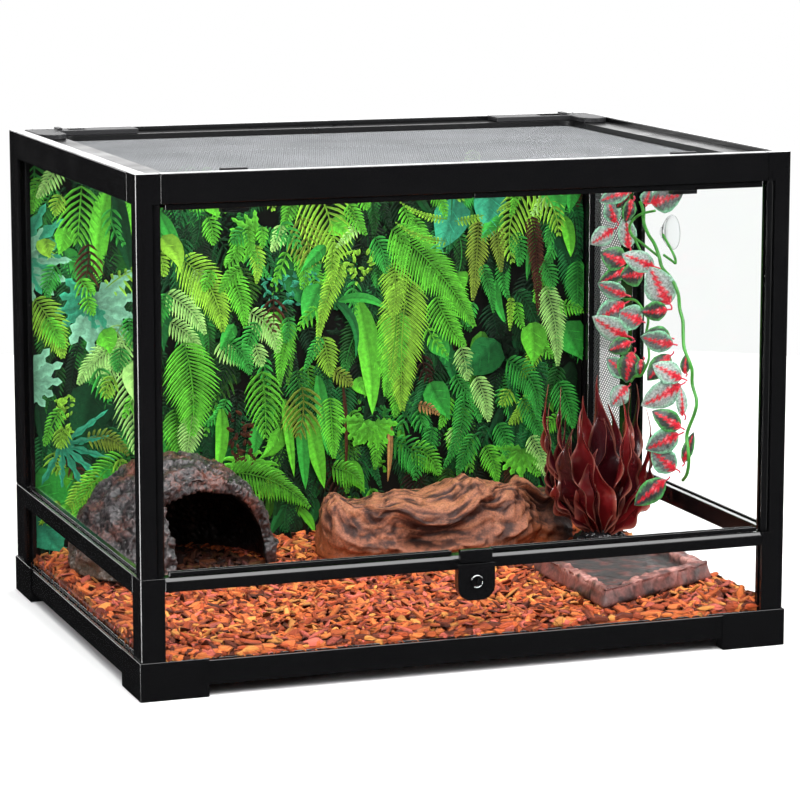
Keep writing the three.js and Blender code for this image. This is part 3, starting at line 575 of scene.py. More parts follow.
# kind, root x and z, tip x and z, bend, half width in millimetres, ink
bush = [
    ("palm", -285, 430, -287, 390, 0.05, 20, "leaf"), ("palm", -238, 402, -243, 345, 0.0, 26, "bright"),
    ("blade", -207, 402, -190, 312, 0.05, 12, "dark"), ("blade", -190, 412, -178, 300, 0.05, 15, "bright"),
    ("blade", -208, 402, -222, 298, -0.12, 11, "bright"), ("palm", -232, 345, -243, 282, 0.1, 14, "brown"),
    ("lobed", -300, 338, -245, 348, 0, 28, "teal"), ("lobed", -300, 328, -250, 305, 0, 28, "mint"),
    ("heart", -226, 205, -245, 135, 0, 24, "dark"), ("palm", -216, 298, -180, 318, 0.1, 14, "lime"),
    ("lobed", -231, 283, -190, 245, 0, 40, "mint"), ("lobed", -228, 285, -262, 262, 0, 34, "teal"),
    ("frond", -288, 292, -260, 232, 0.15, 20, "lime"), ("frond", -200, 262, -240, 215, 0.1, 14, "pale"),
    ("frond", -195, 250, -225, 200, 0.1, 14, "pale"), ("blade", -285, 190, -278, 135, 0, 6, "dark"),
    ("blade", -272, 190, -268, 130, 0, 6, "dark"), ("frond", -262, 182, -280, 145, -0.1, 10, "bright"),
    ("lobed", -300, 212, -262, 190, 0, 32, "mint"), ("frond", -205, 240, -245, 205, -0.2, 16, "pale"),
    ("palm", -191, 228, -188, 132, 0, 20, "pale"), ("tuft", -258, 190, -262, 145, 0, 10, "lime"),
    ("frond", -238, 150, -195, 130, 0.4, 12, "olive"), ("heart", -300, 112, -255, 72, 0.2, 20, "leaf"),
    ("heart", -292, 80, -262, 36, 0, 24, "teal"), ("frond", -222, 112, -262, 70, -0.2, 16, "lime"),
    ("frond", -200, 130, -250, 55, -0.25, 20, "bright"), ("lobed", -262, 146, -218, 104, 0, 14, "teal"),
    ("blade", -160, 370, -136, 320, 0, 7, "leaf"), ("frond", -140, 385, -92, 368, 0.25, 12, "bright"),
    ("frond", -135, 345, -150, 318, 0.2, 12, "deep"), ("frond", -92, 312, -74, 252, 0.15, 15, "bright"),
    ("frond", -140, 325, -97, 250, 0.25, 24, "lime"), ("frond", -155, 290, -115, 248, 0.2, 14, "pale"),
    ("frond", -152, 262, -118, 225, 0.2, 12, "pale"), ("lobed", -62, 345, -92, 352, 0, 16, "bright"),
    ("frond", -60, 345, -22, 335, 0.2, 10, "leaf"), ("frond", -62, 335, -62, 296, 0.1, 9, "lime"),
    ("heart", -70, 410, -66, 372, 0, 12, "bright"), ("palm", -16, 362, -6, 312, 0.1, 20, "olive"),
    ("palm", -2, 396, 22, 318, 0.12, 32, "lime"), ("tuft", -48, 278, -5, 300, 0, 14, "teal"),
    ("palm", -44, 283, -44, 246, 0, 13, "brown"), ("frond", -70, 268, -40, 225, 0.3, 15, "pale"),
    ("frond", -26, 256, -38, 190, -0.1, 11, "bright"), ("heart", 5, 292, -14, 250, 0, 14, "leaf"),
    ("frond", 28, 312, 2, 232, -0.12, 11, "lime"), ("frond", 8, 240, 16, 198, 0, 14, "lime"),
    ("blade", 22, 274, 42, 215, 0.35, 5, "deep"), ("blade", 24, 274, 78, 262, 0.3, 5, "leaf"),
    ("tuft", 27, 320, 55, 300, 0, 14, "lime"), ("frond", 62, 338, 74, 300, 0.2, 14, "leaf"),
    ("frond", 88, 342, 92, 305, 0.1, 13, "bright"), ("frond", 84, 312, 82, 255, 0.05, 18, "lime"),
    ("blade", 46, 272, 60, 156, 0.08, 12, "bright"), ("frond", 86, 262, 74, 175, 0.05, 20, "bright"),
    ("frond", 98, 295, 92, 160, -0.05, 28, "lime"), ("heart", 150, 372, 128, 318, 0.1, 20, "teal"),
    ("frond", 146, 352, 89, 372, 0.15, 5, "lime"), ("frond", 146, 350, 212, 366, -0.1, 5, "lime"),
    ("frond", 140, 330, 84, 352, 0.15, 5, "lime"), ("frond", 150, 372, 185, 392, 0, 5, "lime"),
    ("blade", 146, 385, 143, 318, 0, 1, "deep"), ("frond", 174, 350, 168, 268, 0.03, 13, "olive"),
    ("frond", 80, 345, 170, 242, 0.12, 26, "bright"), ("heart", 188, 382, 184, 332, 0, 18, "teal"),
    ("heart", 246, 390, 268, 350, 0.1, 17, "leaf"), ("palm", 232, 388, 212, 305, -0.3, 20, "lime"),
    ("palm", 228, 388, 262, 330, 0.3, 16, "lime"), ("frond", 232, 352, 240, 250, 0.05, 10, "brown"),
    ("frond", 194, 345, 199, 296, 0, 10, "olive"), ("frond", 178, 305, 191, 254, 0.1, 8, "leaf"),
    ("frond", 210, 270, 209, 234, 0, 5, "lime"), ("frond", 284, 305, 284, 248, 0, 16, "leaf"),
    ("blade", 268, 350, 276, 308, 0.1, 7, "bright"), ("frond", 245, 305, 255, 275, 0.2, 12, "leaf"),
    ("frond", 248, 280, 262, 196, 0.1, 15, "pale"), ("heart", 234, 242, 234, 196, 0.1, 15, "bright"),
    ("heart", 270, 240, 290, 200, 0, 18, "leaf"), ("frond", 262, 258, 292, 250, 0.2, 9, "bright"),
    ("frond", 128, 275, 160, 222, -0.1, 18, "bright"), ("heart", 195, 225, 150, 195, 0.2, 20, "deep"),
    ("frond", 155, 222, 162, 186, 0.1, 13, "pale"), ("frond", 222, 165, 245, 110, 0.15, 12, "leaf"),
    ("frond", 205, 205, 240, 142, 0.35, 17, "leaf"), ("frond", 172, 190, 186, 142, 0.1, 13, "pale"),
    ("heart", 122, 186, 144, 146, 0, 14, "leaf"), ("frond", 160, 176, 136, 96, 0.15, 12, "leaf"),
    ("frond", 195, 140, 206, 102, 0.2, 12, "leaf"), ("frond", 172, 130, 152, 88, -0.1, 12, "leaf"),
    ("frond", 182, 118, 196, 78, 0.1, 12, "bright"), ("lobed", 222, 110, 208, 78, 0, 24, "bright"),
    ("frond", 232, 125, 250, 80, 0.1, 12, "pale"), ("frond", 262, 180, 280, 130, 0.1, 16, "leaf"),
    ("frond", 82, 128, 105, 86, 0.5, 18, "leaf"), ("frond", 100, 120, 132, 90, 0.3, 16, "bright"),
    ("blade", 78, 152, 76, 86, 0.05, 3, "tan"), ("frond", 66, 140, 62, 100, 0, 10, "bright"),
    ("frond", 108, 164, 132, 152, 0.2, 7, "tan"), ("frond", -138, 242, -130, 148, 0.1, 30, "bright"),
    ("frond", -130, 168, -137, 122, 0, 14, "pale"), ("frond", -95, 240, -70, 205, 0.3, 14, "leaf"),
    ("palm", -58, 210, -54, 140, 0.05, 20, "bright"), ("blade", -100, 172, -106, 105, 0.1, 7, "bright"),
    ("heart", -62, 152, -66, 122, 0, 8, "leaf"), ("rosette", -73, 108, -73, 140, 0, 30, "bright"),
    ("frond", -95, 108, -8, 66, 0.2, 20, "bright"), ("blade", 2, 200, 12, 118, 0, 7, "leaf"),
    ("blade", -34, 178, -24, 98, 0, 5, "bright"), ("blade", -16, 162, -12, 84, 0, 7, "leaf"),
    ("blade", -9, 162, 8, 84, 0, 9, "bright"), ("palm", -16, 192, -20, 140, 0.15, 22, "olive"),
    ("frond", 14, 178, 18, 115, 0, 15, "bright"), ("frond", 18, 205, 38, 188, 0.1, 10, "olive"),
    ("blade", 28, 190, 30, 90, 0.05, 2, "brown"), ("tuft", -85, 160, -70, 125, 0, 12, "brown"),
    ("lobed", 50, 150, 38, 122, 0, 24, "bright"), ("lobed", 62, 148, 66, 118, 0, 22, "bright"),
    ("frond", 15, 106, 48, 86, 0.2, 14, "bright"),
]
# small plants behind the listed ones, darker toward the back, and small bright ones in front; bounds are x, z
thicket = {
    "fillers": 520, "sprigs": 120, "layer": 0.003, "bushLayer": 0.032, "sprigLayer": 0.02,
    "kinds": {"frond": 0.5, "blade": 0.14, "palm": 0.14, "heart": 0.12, "tuft": 0.1},
    "sprigKinds": {"frond": 0.62, "palm": 0.2, "heart": 0.18},
    "sprigInks": {"bright": 0.42, "lime": 0.2, "leaf": 0.26, "pale": 0.12},
}
# dark hollows among the small plants
pockets = {"size": 62, "middle": 0.62, "swing": 1.5, "darkest": 0.2, "lightest": 1.05}
printEdge = 290.5
cardLow, cardHigh = boxOf("background_card")
printFront = cardLow[1]


def pickOne(shares):
    return draw.choice(list(shares), p=list(shares.values()))


heap = Heap()
spanX, spanY, spanZ = zip((cardLow[0], printFront, cardLow[2]), cardHigh)
sheet = [(x, y, z) for y in spanY for z in spanZ for x in spanX]
sheetFaces = [(0, 1, 3, 2), (5, 4, 6, 7), (4, 0, 2, 6), (1, 5, 7, 3), (2, 3, 7, 6), (4, 5, 1, 0)]
heap.add(sheet, sheetFaces, rgb("#050A05"))
for k in range(thicket["fillers"]):
    spot = np.array([draw.uniform(-282, 282), draw.uniform(60, 425)])
    reach = draw.uniform(30, 70)
    end = spot + np.array([draw.uniform(-0.6, 0.6) * reach, -reach])
    end = np.clip(end, [-284, 38], [284, 422])
    kind = pickOne(thicket["kinds"])
    light = k / thicket["fillers"]
    ink = pickOne({
        "dark": 0.56 - 0.26 * light, "deep": 0.3 + 0.02 * light, "leaf": 0.09 + 0.13 * light,
        "bright": 0.01 + 0.11 * light, "brown": 0.04,
    })
    half = {"blade": 5, "heart": 11, "tuft": 12}.get(kind, draw.uniform(9, 18))
    front = printFront - 0.1 - thicket["layer"] * k
    growPlant(heap, kind, spot, end, draw.uniform(-0.25, 0.25), half, ink, front)
for k, points in enumerate(heap.points):
    x, _, z = points[0]
    hollow = noise.noise(Vector((x, 7.0, z)) / pockets["size"])
    shade = np.clip(pockets["middle"] + pockets["swing"] * hollow, pockets["darkest"], pockets["lightest"])
    heap.tints[k] = heap.tints[k] * shade
for k, (kind, x0, z0, x1, z1, bend, half, ink) in enumerate(bush):
    growPlant(heap, kind, (x0, z0), (x1, z1), bend, half, ink, printFront - 1.8 - thicket["bushLayer"] * k)
for k in range(thicket["sprigs"]):
    spot = np.array([draw.uniform(-285, 280), draw.uniform(70, 425)])
    reach = draw.uniform(18, 42)
    angle = draw.uniform(-0.9, 0.9)
    end = spot + reach * np.array([math.sin(angle), -math.cos(angle)])
    end = np.clip(end, [-288, 36], [288, 424])
    kind = pickOne(thicket["sprigKinds"])
    ink = pickOne(thicket["sprigInks"])
    bend, half = draw.uniform(-0.3, 0.3), draw.uniform(7, 12)
    growPlant(heap, kind, spot, end, bend, half, ink, printFront - 1.9 - thicket["sprigLayer"] * k)
points = np.vstack(heap.points)
points[:, 0] = np.clip(points[:, 0], -printEdge, printEdge)
points[:, 2] = np.clip(points[:, 2], cardLow[2], cardHigh[2])
heap.points = [points]
heap.piece(
    "foliagePrint", printedSheet, "tank", slot="foliage_print", replaces=("background_card",), smooth=False
)
print("foliage printed", heap.count)

# bark bedding: a dark bed with loose chips lying over it and pressed against the glass
bedding = {
    "chips": 6400, "wallChips": 900, "length": (11, 27), "width": (5, 11), "thick": (1.0, 2.6), "tilt": 19,
    "sides": 7, "swell": 2.6, "swellSize": 55, "depth": (-3.0, 0.6), "wallGap": 3.4, "proud": 9, "bedGrid": 60,
    "bedDrop": 4.5, "bedInk": "#5A2412",
}
barkInks = [rgb(c) for c in ("#C85E2C", "#DA7438", "#A0421E", "#DC8E44", "#C8604E", "#6E2C14", "#D06834", "#B24A22")]
bedLow, bedHigh = boxOf("bark_bedding")


def bedTop(x, y):
    size, swell = bedding["swellSize"], bedding["swell"]
    return bedHigh[2] - swell + swell * noise.fractal(Vector((x / size, y / size, 3.0)), 1.0, 2.0, 3)


hideLow, hideHigh = boxOf("rock_hide")
hideMiddle = (hideLow + hideHigh) / 2


# painted shadow under the hide: its reach, and the share of a chip's ink kept there
hideShadow = {"radius": 87.4, "forward": 14, "shade": 0.12}


def shadeAt(spot):
    # painted shadow: chips under the hide are drawn dark
    reach = math.hypot(spot[0] - hideMiddle[0], spot[1] - hideMiddle[1] + hideShadow["forward"])
    return hideShadow["shade"] if reach < hideShadow["radius"] else 1.0


def chip(heap, spot, length, width, thick, turns):
    # a flake with a ragged outline, bowed along its grain, bevelled to a low crown
    sides = bedding["sides"]
    angles = np.linspace(0, 2 * math.pi, sides, endpoint=False) + draw.uniform(-0.25, 0.25, sides)
    reach = draw.uniform(0.72, 1.08, sides)
    outline = (np.cos(angles) * reach * length / 2, np.sin(angles) * reach * width / 2, np.zeros(sides))
    ring = np.stack(outline, axis=1)
    bow = draw.uniform(-0.05, 0.07) * length
    ring[:, 2] = bow * (ring[:, 0] / (length / 2)) ** 2
    top = ring * np.array([0.86, 0.7, 1.0]) + np.array([0, 0, thick])
    points = np.vstack([ring, top, [[0, 0, thick * 1.25]]])
    faces = [tuple(range(sides))[::-1]]
    faces += [(i, (i + 1) % sides, sides + (i + 1) % sides, sides + i) for i in range(sides)]
    faces += [(sides + i, sides + (i + 1) % sides, 2 * sides) for i in range(sides)]
    yaw, roll, pitch = turns
    turned = Euler((roll, 0, 0)).to_matrix() @ Euler((0, pitch, 0)).to_matrix()
    turned = np.array(Euler((0, 0, yaw)).to_matrix() @ turned)
    ink = barkInks[int(draw.integers(len(barkInks)))] * draw.uniform(0.6, 1.15) * shadeAt(spot)
    # painted shade: each chip's underside and lower rim at about a third of its ink, and a painted highlight on its
    # crown
    tints = np.vstack([np.tile(ink * 0.35, (sides, 1)), np.tile(ink, (sides, 1)), [ink * 1.12]])
    grain = points + draw.uniform(-500, 500, 3)
    heap.add(points @ turned.T + spot, faces, np.clip(tints, 0, 1), grain)


def chipSize():
    return [draw.uniform(*bedding[key]) for key in ("length", "width", "thick")]


heap = Heap()
tilt = math.radians(bedding["tilt"])
for k in range(bedding["chips"]):
    x, y = draw.uniform(bedLow[0] + 6, bedHigh[0] - 6), draw.uniform(bedLow[1] + 6, bedHigh[1] - 5)
    size = chipSize()
    z = bedTop(x, y) + draw.uniform(*bedding["depth"])
    turns = (draw.uniform(0, 2 * math.pi), draw.normal(0, tilt), draw.normal(0, tilt))
    chip(heap, np.array([x, y, z]), *size, turns)
for k in range(bedding["wallChips"]):  # flat against the front, left and right glass in turn
    wall = k % 3
    z = draw.uniform(bedLow[2] + 4, bedHigh[2] - 4)
    size = chipSize()
    if wall == 0:
        x, y, yaw = draw.uniform(bedLow[0] + 8, bedHigh[0] - 8), bedLow[1] + bedding["wallGap"], 0.0
    else:
        x = bedLow[0] + bedding["wallGap"] if wall == 1 else bedHigh[0] - bedding["wallGap"]
        y, yaw = draw.uniform(bedLow[1] + 8, bedHigh[1] - 8), math.pi / 2
    turns = (yaw, math.pi / 2 + draw.normal(0, 0.12), draw.normal(0, 0.35))
    chip(heap, np.array([x, y, z]), *size, turns)
points = np.vstack(heap.points)
lowest = [bedLow[0] - 0.2, bedLow[1] - 0.2, bedLow[2]]
highest = [bedHigh[0] + 0.2, bedHigh[1] + 0.2, bedHigh[2] + bedding["proud"]]
heap.points = [np.clip(points, lowest, highest)]
heap.piece("barkChips", pineBark, "tank", slot="bark", replaces=("bark_bedding",), smooth=False)

# the bed under the chips: an uneven top, a flat foot and a wall round the rim
count, drop = bedding["bedGrid"], bedding["bedDrop"]
spanX = np.linspace(bedLow[0] + 2.5, bedHigh[0] - 2.5, count)
spanY = np.linspace(bedLow[1] + 2.5, bedHigh[1] - 1, count)
grid = [(x, y, bedTop(x, y) - drop) for y in spanY for x in spanX]
under = [(x, y, bedLow[2]) for x, y, _ in grid]
total = count * count
faces = []
for j in range(count - 1):
    for i in range(count - 1):
        a = j * count + i
        faces.append((a, a + 1, a + count + 1, a + count))
        faces.append((total + a + count, total + a + count + 1, total + a + 1, total + a))
rim = list(range(count)) + [j * count + count - 1 for j in range(1, count)]
rim += [total - count + i for i in range(count - 2, -1, -1)] + [j * count for j in range(count - 2, 0, -1)]
faces += [(b, a, total + a, total + b) for a, b in zip(rim, rim[1:] + rim[:1])]
heap = Heap()
heap.add(grid + under, faces, rgb(bedding["bedInk"]), np.array(grid + under))
heap.piece("barkBed", pineBark, "tank", slot="bark")
print("bedding laid", len(points))


def remeshed(name, voxel):
    # the CAD solid as an even fine skin, ready to be shaped
    copy = bpy.data.objects.new(name + "_skin", nodes[name].data.copy())
    bpy.context.scene.collection.objects.link(copy)
    modifier = copy.modifiers.new("skin", "REMESH")
    modifier.mode, modifier.voxel_size, modifier.use_smooth_shade = "VOXEL", voxel * mm, True
    bpy.context.view_layer.update()
    shown = copy.evaluated_get(bpy.context.evaluated_depsgraph_get())
    mesh = bpy.data.meshes.new_from_object(shown)
    bpy.data.objects.remove(copy)
    points = np.zeros(len(mesh.vertices) * 3)
    normals = np.zeros(len(mesh.vertices) * 3)
    mesh.vertices.foreach_get("co", points)
    mesh.vertices.foreach_get("normal", normals)
    faces = [tuple(p.vertices) for p in mesh.polygons]
    bpy.data.meshes.remove(mesh)
    return points.reshape(-1, 3) / mm, normals.reshape(-1, 3), faces


def mixed(a, b, share):
    share = np.clip(share, 0, 1)[:, None]
    return a * (1 - share) + b * share


def settled(points, low):
    # 0 where a piece stands on the bark, rising to 1
    return np.clip((points[:, 2] - low[2]) / 8, 0, 1)


# the hide: a half dome of crumpled stone, with painted shade darkening its inside
hide = {
    "voxel": 1.5, "folds": 1.8, "foldSize": 30, "grit": 0.55, "gritSize": 4.2, "veinSize": 22, "insideFolds": 0.3,
    "dark": "#0A0809", "grey": "#484244", "worn": "#A39A9A", "vein": "#63392F", "moss": "#5A4632", "inside": 0.12,
}
points, normals, faces = remeshed("rock_hide", hide["voxel"])
low, high = hideLow, hideHigh
fold = ridges(points, hide["foldSize"], 5)
grit = ridges(points + 90, hide["gritSize"], 3)
outside = np.einsum("ij,ij->i", normals, points - (hideMiddle[0], hideMiddle[1], low[2])) > 0
push = np.clip(fold, -1.6, 1.8) * hide["folds"] * np.where(outside, 1, hide["insideFolds"])
push += np.clip(grit, -1.5, 1.5) * hide["grit"]
shaped = points + normals * (push * settled(points, low))[:, None]
tint = mixed(rgb(hide["dark"]), rgb(hide["grey"]), 0.34 + 0.2 * fold + 0.34 * grit)
# painted glints: the sharpest grit ridges are mixed toward a pale grey highlight
tint = mixed(tint, rgb(hide["worn"]), (grit - 1.2) * 0.8)
vein = fractal(points + 300, hide["veinSize"], 3)
crown = np.clip((points[:, 2] - high[2] + 30) / 25, 0, 0.4)
tint = mixed(tint, rgb(hide["vein"]), (vein + 0.02) * 1.2 + (grit - 0.7) * 0.3 + crown)
moss = np.clip((hideMiddle[0] - 55 - points[:, 0]) / 30, 0, 1) * np.clip((75 - points[:, 2]) / 25, 0, 1)
tint = mixed(tint, rgb(hide["moss"]), moss * 0.5)
# painted shade: the inner faces keep only a small share of their colour
tint = np.where(outside[:, None], tint, tint * hide["inside"])
piece = makePiece("rockHide", shaped, faces, castStone, "tank", slot="dark_rock", replaces=("rock_hide",))
paint(piece, "tint", np.clip(tint, 0, 1))
print("hide cast", len(points))

# the log: split layers and long grooves, orange brown with dark seams
log = {
    "voxel": 1.6, "groove": 2.0, "grooveSize": 6.5, "crag": 7, "cragSize": 26, "bendSize": 70,
    "layer": 11.0, "layerDepth": 1.6, "proud": 3,
    "hollow": {"x": 48, "z": 22, "wide": 15, "high": 6, "deep": 14},
    "cave": {"x": 186, "z": 26, "wide": 12, "high": 13, "deep": 16},
    # how much the crest is raised along the log, and how far the ledges stand out up its front
    "crest": (
        [-35, -10, 30, 60, 85, 108, 128, 160, 180, 196, 215, 232],
        [1.45, 0.98, 0.84, 0.8, 0.9, 1.05, 0.93, 1.08, 1.1, 0.85, 1.15, 1.0],
    ),
    "ledges": ([0, 0.1, 0.22, 0.3, 0.42, 0.55, 0.63, 0.7, 0.85, 1], [-8, -10, -8, 3, 8, 6, 2, -9, -7, 0]),
    "bark": "#381E17", "wood": "#8A543E", "crown": "#A86E4C", "foot": "#A4582F", "seam": "#241412", "end": "#3A2622",
}
points, normals, faces = remeshed("driftwood_log", log["voxel"])
low, high = boxOf("driftwood_log")
height = high[2] - low[2]
bend = fractal(points, log["bendSize"], 3)
alongGrain = np.stack([points[:, 0] / 7, points[:, 1] + 10 * bend, points[:, 2] * 1.2 + 16 * bend], axis=1)
groove = fractal(alongGrain, log["grooveSize"], 4)
craggy = fractal(points + 40, log["cragSize"], 3)
share = (points[:, 2] - low[2]) / height
along = (points[:, 0] - low[0]) / (high[0] - low[0])
rung = share + 0.1 * np.sin(points[:, 0] / 34) + 0.16 * bend + 0.12 * (along - 0.5)
frontness = np.clip(-normals[:, 1] * 1.4 + 0.1, 0, 1)


def dent(plan):
    spread = ((points[:, 0] - plan["x"]) / plan["wide"]) ** 2 + ((points[:, 2] - low[2] - plan["z"]) / plan["high"]) ** 2
    return np.exp(-spread) * plan["deep"] * frontness


dents = dent(log["hollow"]) + dent(log["cave"])
level = rung * height / log["layer"]
shelf = level - np.floor(level)
push = groove * log["groove"] + craggy * log["crag"] + (shelf - 0.5) * log["layerDepth"] * frontness
shaped = points + normals * (push * settled(points, low))[:, None]
shaped[:, 1] += np.interp(rung, *log["ledges"]) * frontness + dents
raised = low[2] + (shaped[:, 2] - low[2]) * np.interp(points[:, 0], *log["crest"])
shaped[:, 2] = np.clip(raised, low[2], high[2] + log["proud"])
tint = mixed(rgb(log["bark"]), rgb(log["wood"]), 0.55 + groove * 2.0 + craggy * 0.5)
# painted top light: faces turned upward are mixed toward the crown colour, and the grain adds to it
tint = mixed(tint, rgb(log["crown"]), (normals[:, 2] - 0.45) * 0.5 + groove * 0.8)
tint = mixed(tint, rgb(log["foot"]), (0.24 - rung) * 3)
# dark seams above each layer's lip, and painted shade in the hollow and the cave
tint = mixed(tint, rgb(log["seam"]), (0.1 - shelf) * 5 + dents / 11)
tint = mixed(tint, rgb(log["end"]), (points[:, 0] - high[0] + 45) / 30)
piece = makePiece("driftwoodLog", shaped, faces, rootWood, "tank", slot="driftwood", replaces=("driftwood_log",))
paint(piece, "tint", np.clip(tint, 0, 1))
print("log weathered", len(points))

# the dish: pinkish brown rim and walls that widen downwards, grey basin
dish = {
    "voxel": 1.6, "bumpSize": 16, "bump": 1.6, "ledgeSize": 30, "ledge": 0.9, "rimHeight": 5, "flare": 5, "tuck": 2,
    "basin": "#454545", "wall": "#84524C", "rim": "#BC8880", "crack": "#2A2224",
}
points, normals, faces = remeshed("water_dish", dish["voxel"])
low, high = boxOf("water_dish")
bump = fractal(points, dish["bumpSize"], 5)
ledge = ridges(points, dish["ledgeSize"], 4)
rim = np.clip((points[:, 2] - (high[2] - dish["rimHeight"])) / 4, 0, 1)
outer = np.clip(np.einsum("ij,ij->i", normals[:, :2], points[:, :2] - (low[:2] + high[:2]) / 2) / 40, 0, 1)
sink = (high[2] - points[:, 2]) / (high[2] - low[2])
push = (bump * dish["bump"] + ledge * dish["ledge"]) * (0.35 + 0.65 * rim)
push += outer * (dish["flare"] * sink - dish["tuck"])
tint = mixed(rgb(dish["basin"]), rgb(dish["wall"]), rim * 0.9 + outer * 0.75 + bump * 0.9)
tint = mixed(tint, rgb(dish["rim"]), rim * (bump * 1.3 + 0.16))
# darker along the ledges' cracks, and darker toward the foot of the outer walls
tint = mixed(tint, rgb(dish["crack"]), (ledge - 0.7) * 0.6 + outer * (sink - 0.35) * (0.5 - bump * 3))
shaped = points + normals * push[:, None]
piece = makePiece("waterDish", shaped, faces, rubbedStone, "tank", slot="dish_stone", replaces=("water_dish",))
paint(piece, "tint", np.clip(tint, 0, 1))
print("dish shaped", len(points))

# pebble foot of the plant: black stones heaped on a low mound
pebbles = {"stones": 130, "size": (3.2, 6.5), "sides": 10, "rings": 5, "ink": "#1A1A1C"}
footLow, footHigh = boxOf("plant_base")
foot = (footLow + footHigh) / 2
radius = (footHigh[0] - footLow[0]) / 2
sides, rings = pebbles["sides"], pebbles["rings"]
unit = [(0, 0, -1)]
for ring in range(1, rings + 1):
    lat = math.pi * (ring / (rings + 1) - 0.5)
    for lon in np.linspace(0, 2 * math.pi, sides, endpoint=False):
        unit.append((math.cos(lat) * math.cos(lon), math.cos(lat) * math.sin(lon), math.sin(lat)))
unit = np.array(unit + [(0, 0, 1)])
top = len(unit) - 1
unitFaces = [(0, 1 + (k + 1) % sides, 1 + k) for k in range(sides)]
for ring in range(rings - 1):
    for k in range(sides):
        a, b = 1 + ring * sides + k, 1 + ring * sides + (k + 1) % sides
        unitFaces.append((a, b, b + sides, a + sides))
unitFaces += [(top - sides + k, top - sides + (k + 1) % sides, top) for k in range(sides)]
heap = Heap()
for k in range(pebbles["stones"]):
    share, angle = math.sqrt(draw.uniform(0, 1)), draw.uniform(0, 2 * math.pi)
    size = draw.uniform(*pebbles["size"]) * np.array([1, draw.uniform(0.7, 1), draw.uniform(0.6, 0.9)])
    out = (radius - 3) * share
    z = footLow[2] + 3 + (footHigh[2] - footLow[2] - 5) * (1 - share**2)
    spot = np.array([foot[0] + out * math.cos(angle), foot[1] + out * math.sin(angle), z])
    turned = np.array(Euler((0, 0, angle * 3)).to_matrix())
    heap.add(unit * size @ turned.T + spot, unitFaces, rgb(pebbles["ink"]) * draw.uniform(0.5, 1.8))
heap.piece("pebbleFoot", wetPebble, "tank", slot="black_pebble", replaces=("plant_base",))

# the red plant: wavy blades cupped round a short stem, each with a pale rim and a flame tip
plant = {
    "rows": 30, "columns": 8, "thick": 1.6, "least": 0.25, "wave": 4.2, "widen": 1.5, "sway": 5.0, "cup": 0.42,
    "bulge": 1.28, "bulgeHeight": 0.55, "dark": "#360810", "red": "#741416", "rim": "#C77A66",
    # half width from root to tip
    "outline": ((0, 0.12, 0.38, 0.56, 0.7, 0.84, 1), (0.45, 0.85, 1.0, 0.82, 0.42, 0.13, 0.02)),
}
# tip to the right, tip to the back, tip height, widest width
blades = [
    (-50, 15, 145, 20), (-40, 5, 142, 18), (-50, 8, 126, 15), (-24, -14, 123, 24), (-14, -20, 84, 30),
    (-40, -16, 106, 24), (8, 20, 150, 22), (16, -16, 132, 28), (30, 6, 138, 18), (40, 12, 141, 18),
    (22, -20, 104, 30), (48, -4, 117, 14), (45, -12, 84, 20), (-49, 12, 80, 18), (-49, -6, 60, 16),
    (38, -20, 54, 26), (-28, 22, 112, 22), (24, 30, 118, 22), (-2, 30, 128, 24), (-32, 0, 96, 24), (2, -8, 112, 26),
]
stem = np.array([foot[0], foot[1], boxOf("aloe_plant")[0][2] - 4])
t = np.linspace(0, 1, plant["rows"])
u = np.linspace(-1, 1, plant["columns"] + 1)
heap = Heap()
for k, (right, backward, height, width) in enumerate(blades):
    reach = math.hypot(right, backward)
    out = np.array([right, backward, 0]) / reach
    across = np.array([-out[1], out[0], 0])
    bulge = stem + out * reach * plant["bulge"] + (0, 0, height * plant["bulgeHeight"])
    line = bezier(stem + out * 4, bulge, stem + (right, backward, height + 4), t)
    line += np.sin(t * 9 + k)[:, None] * across * plant["sway"] * (t**1.6)[:, None]
    face = np.cross(headings(line), across)
    face /= np.linalg.norm(face, axis=1)[:, None]
    half = np.interp(t, *plant["outline"]) * width * plant["widen"] / 2
    depth = 0.75 + 0.35 * ((k * 7) % 5) / 4
    body = mixed(rgb(plant["dark"])[None], rgb(plant["red"]), 0.35 + 0.5 * np.sin(t * 3 + k * 1.7)) * depth
    front, rear, tints = [], [], []
    for row, share in enumerate(t):
        cup = -(u**2) * half[row] * plant["cup"]
        ripple = np.sin(share * 21 + k * 2.1 + np.sign(u) * 1.3) * math.sin(math.pi * min(1, share * 1.1))
        wave = plant["wave"] * ripple * u**2
        thick = plant["thick"] * (1 - u**2) * (1 - 0.75 * share) + plant["least"]
        middle = line[row] + across * (u * half[row])[:, None] + face[row] * (cup + wave)[:, None]
        front.append(middle + face[row] * (thick / 2)[:, None])
        rear.append(middle - face[row] * (thick / 2)[:, None])
        pale = np.clip((np.abs(u) - 0.82) * 5, 0, 1)[:, None] * 0.4 + max(0, share - 0.88)
        tints.append(body[row] * (1 - pale) + rgb(plant["rim"]) * pale)
    heap.add(np.vstack(front + rear), skinned(len(t), len(u)), np.vstack(tints * 2))
piece = heap.piece("redPlant", softPvc, "tank", slot="red_leaf", replaces=("aloe_plant",))
smoother = piece.modifiers.new("smoother", "SUBSURF")
smoother.levels = smoother.render_levels = 1
print("plant grown")

# the hanging vine: green stems, and leaves with a red flame down the middle, grey flecks and a mint edge
vine = {
    "plane": 275, "stemRadius": 1.7, "branch": 0.75, "petiole": 0.8, "thick": 0.5, "rows": 14, "columns": 12,
    "green": "#3E8A32", "stalk": "#C7324A", "flame": "#C8152B", "spark": "#E88088",
    # grey body and mint edge, from the palest leaves to the darkest
    "shades": [("#989F9B", "#86BC9E"), ("#626866", "#7DC49A"), ("#383D3B", "#4AA34F")],
    "outline": ((0, 0.1, 0.35, 0.55, 0.8, 0.93, 1), (0.05, 0.6, 1.0, 0.97, 0.6, 0.24, 0.0)),
}
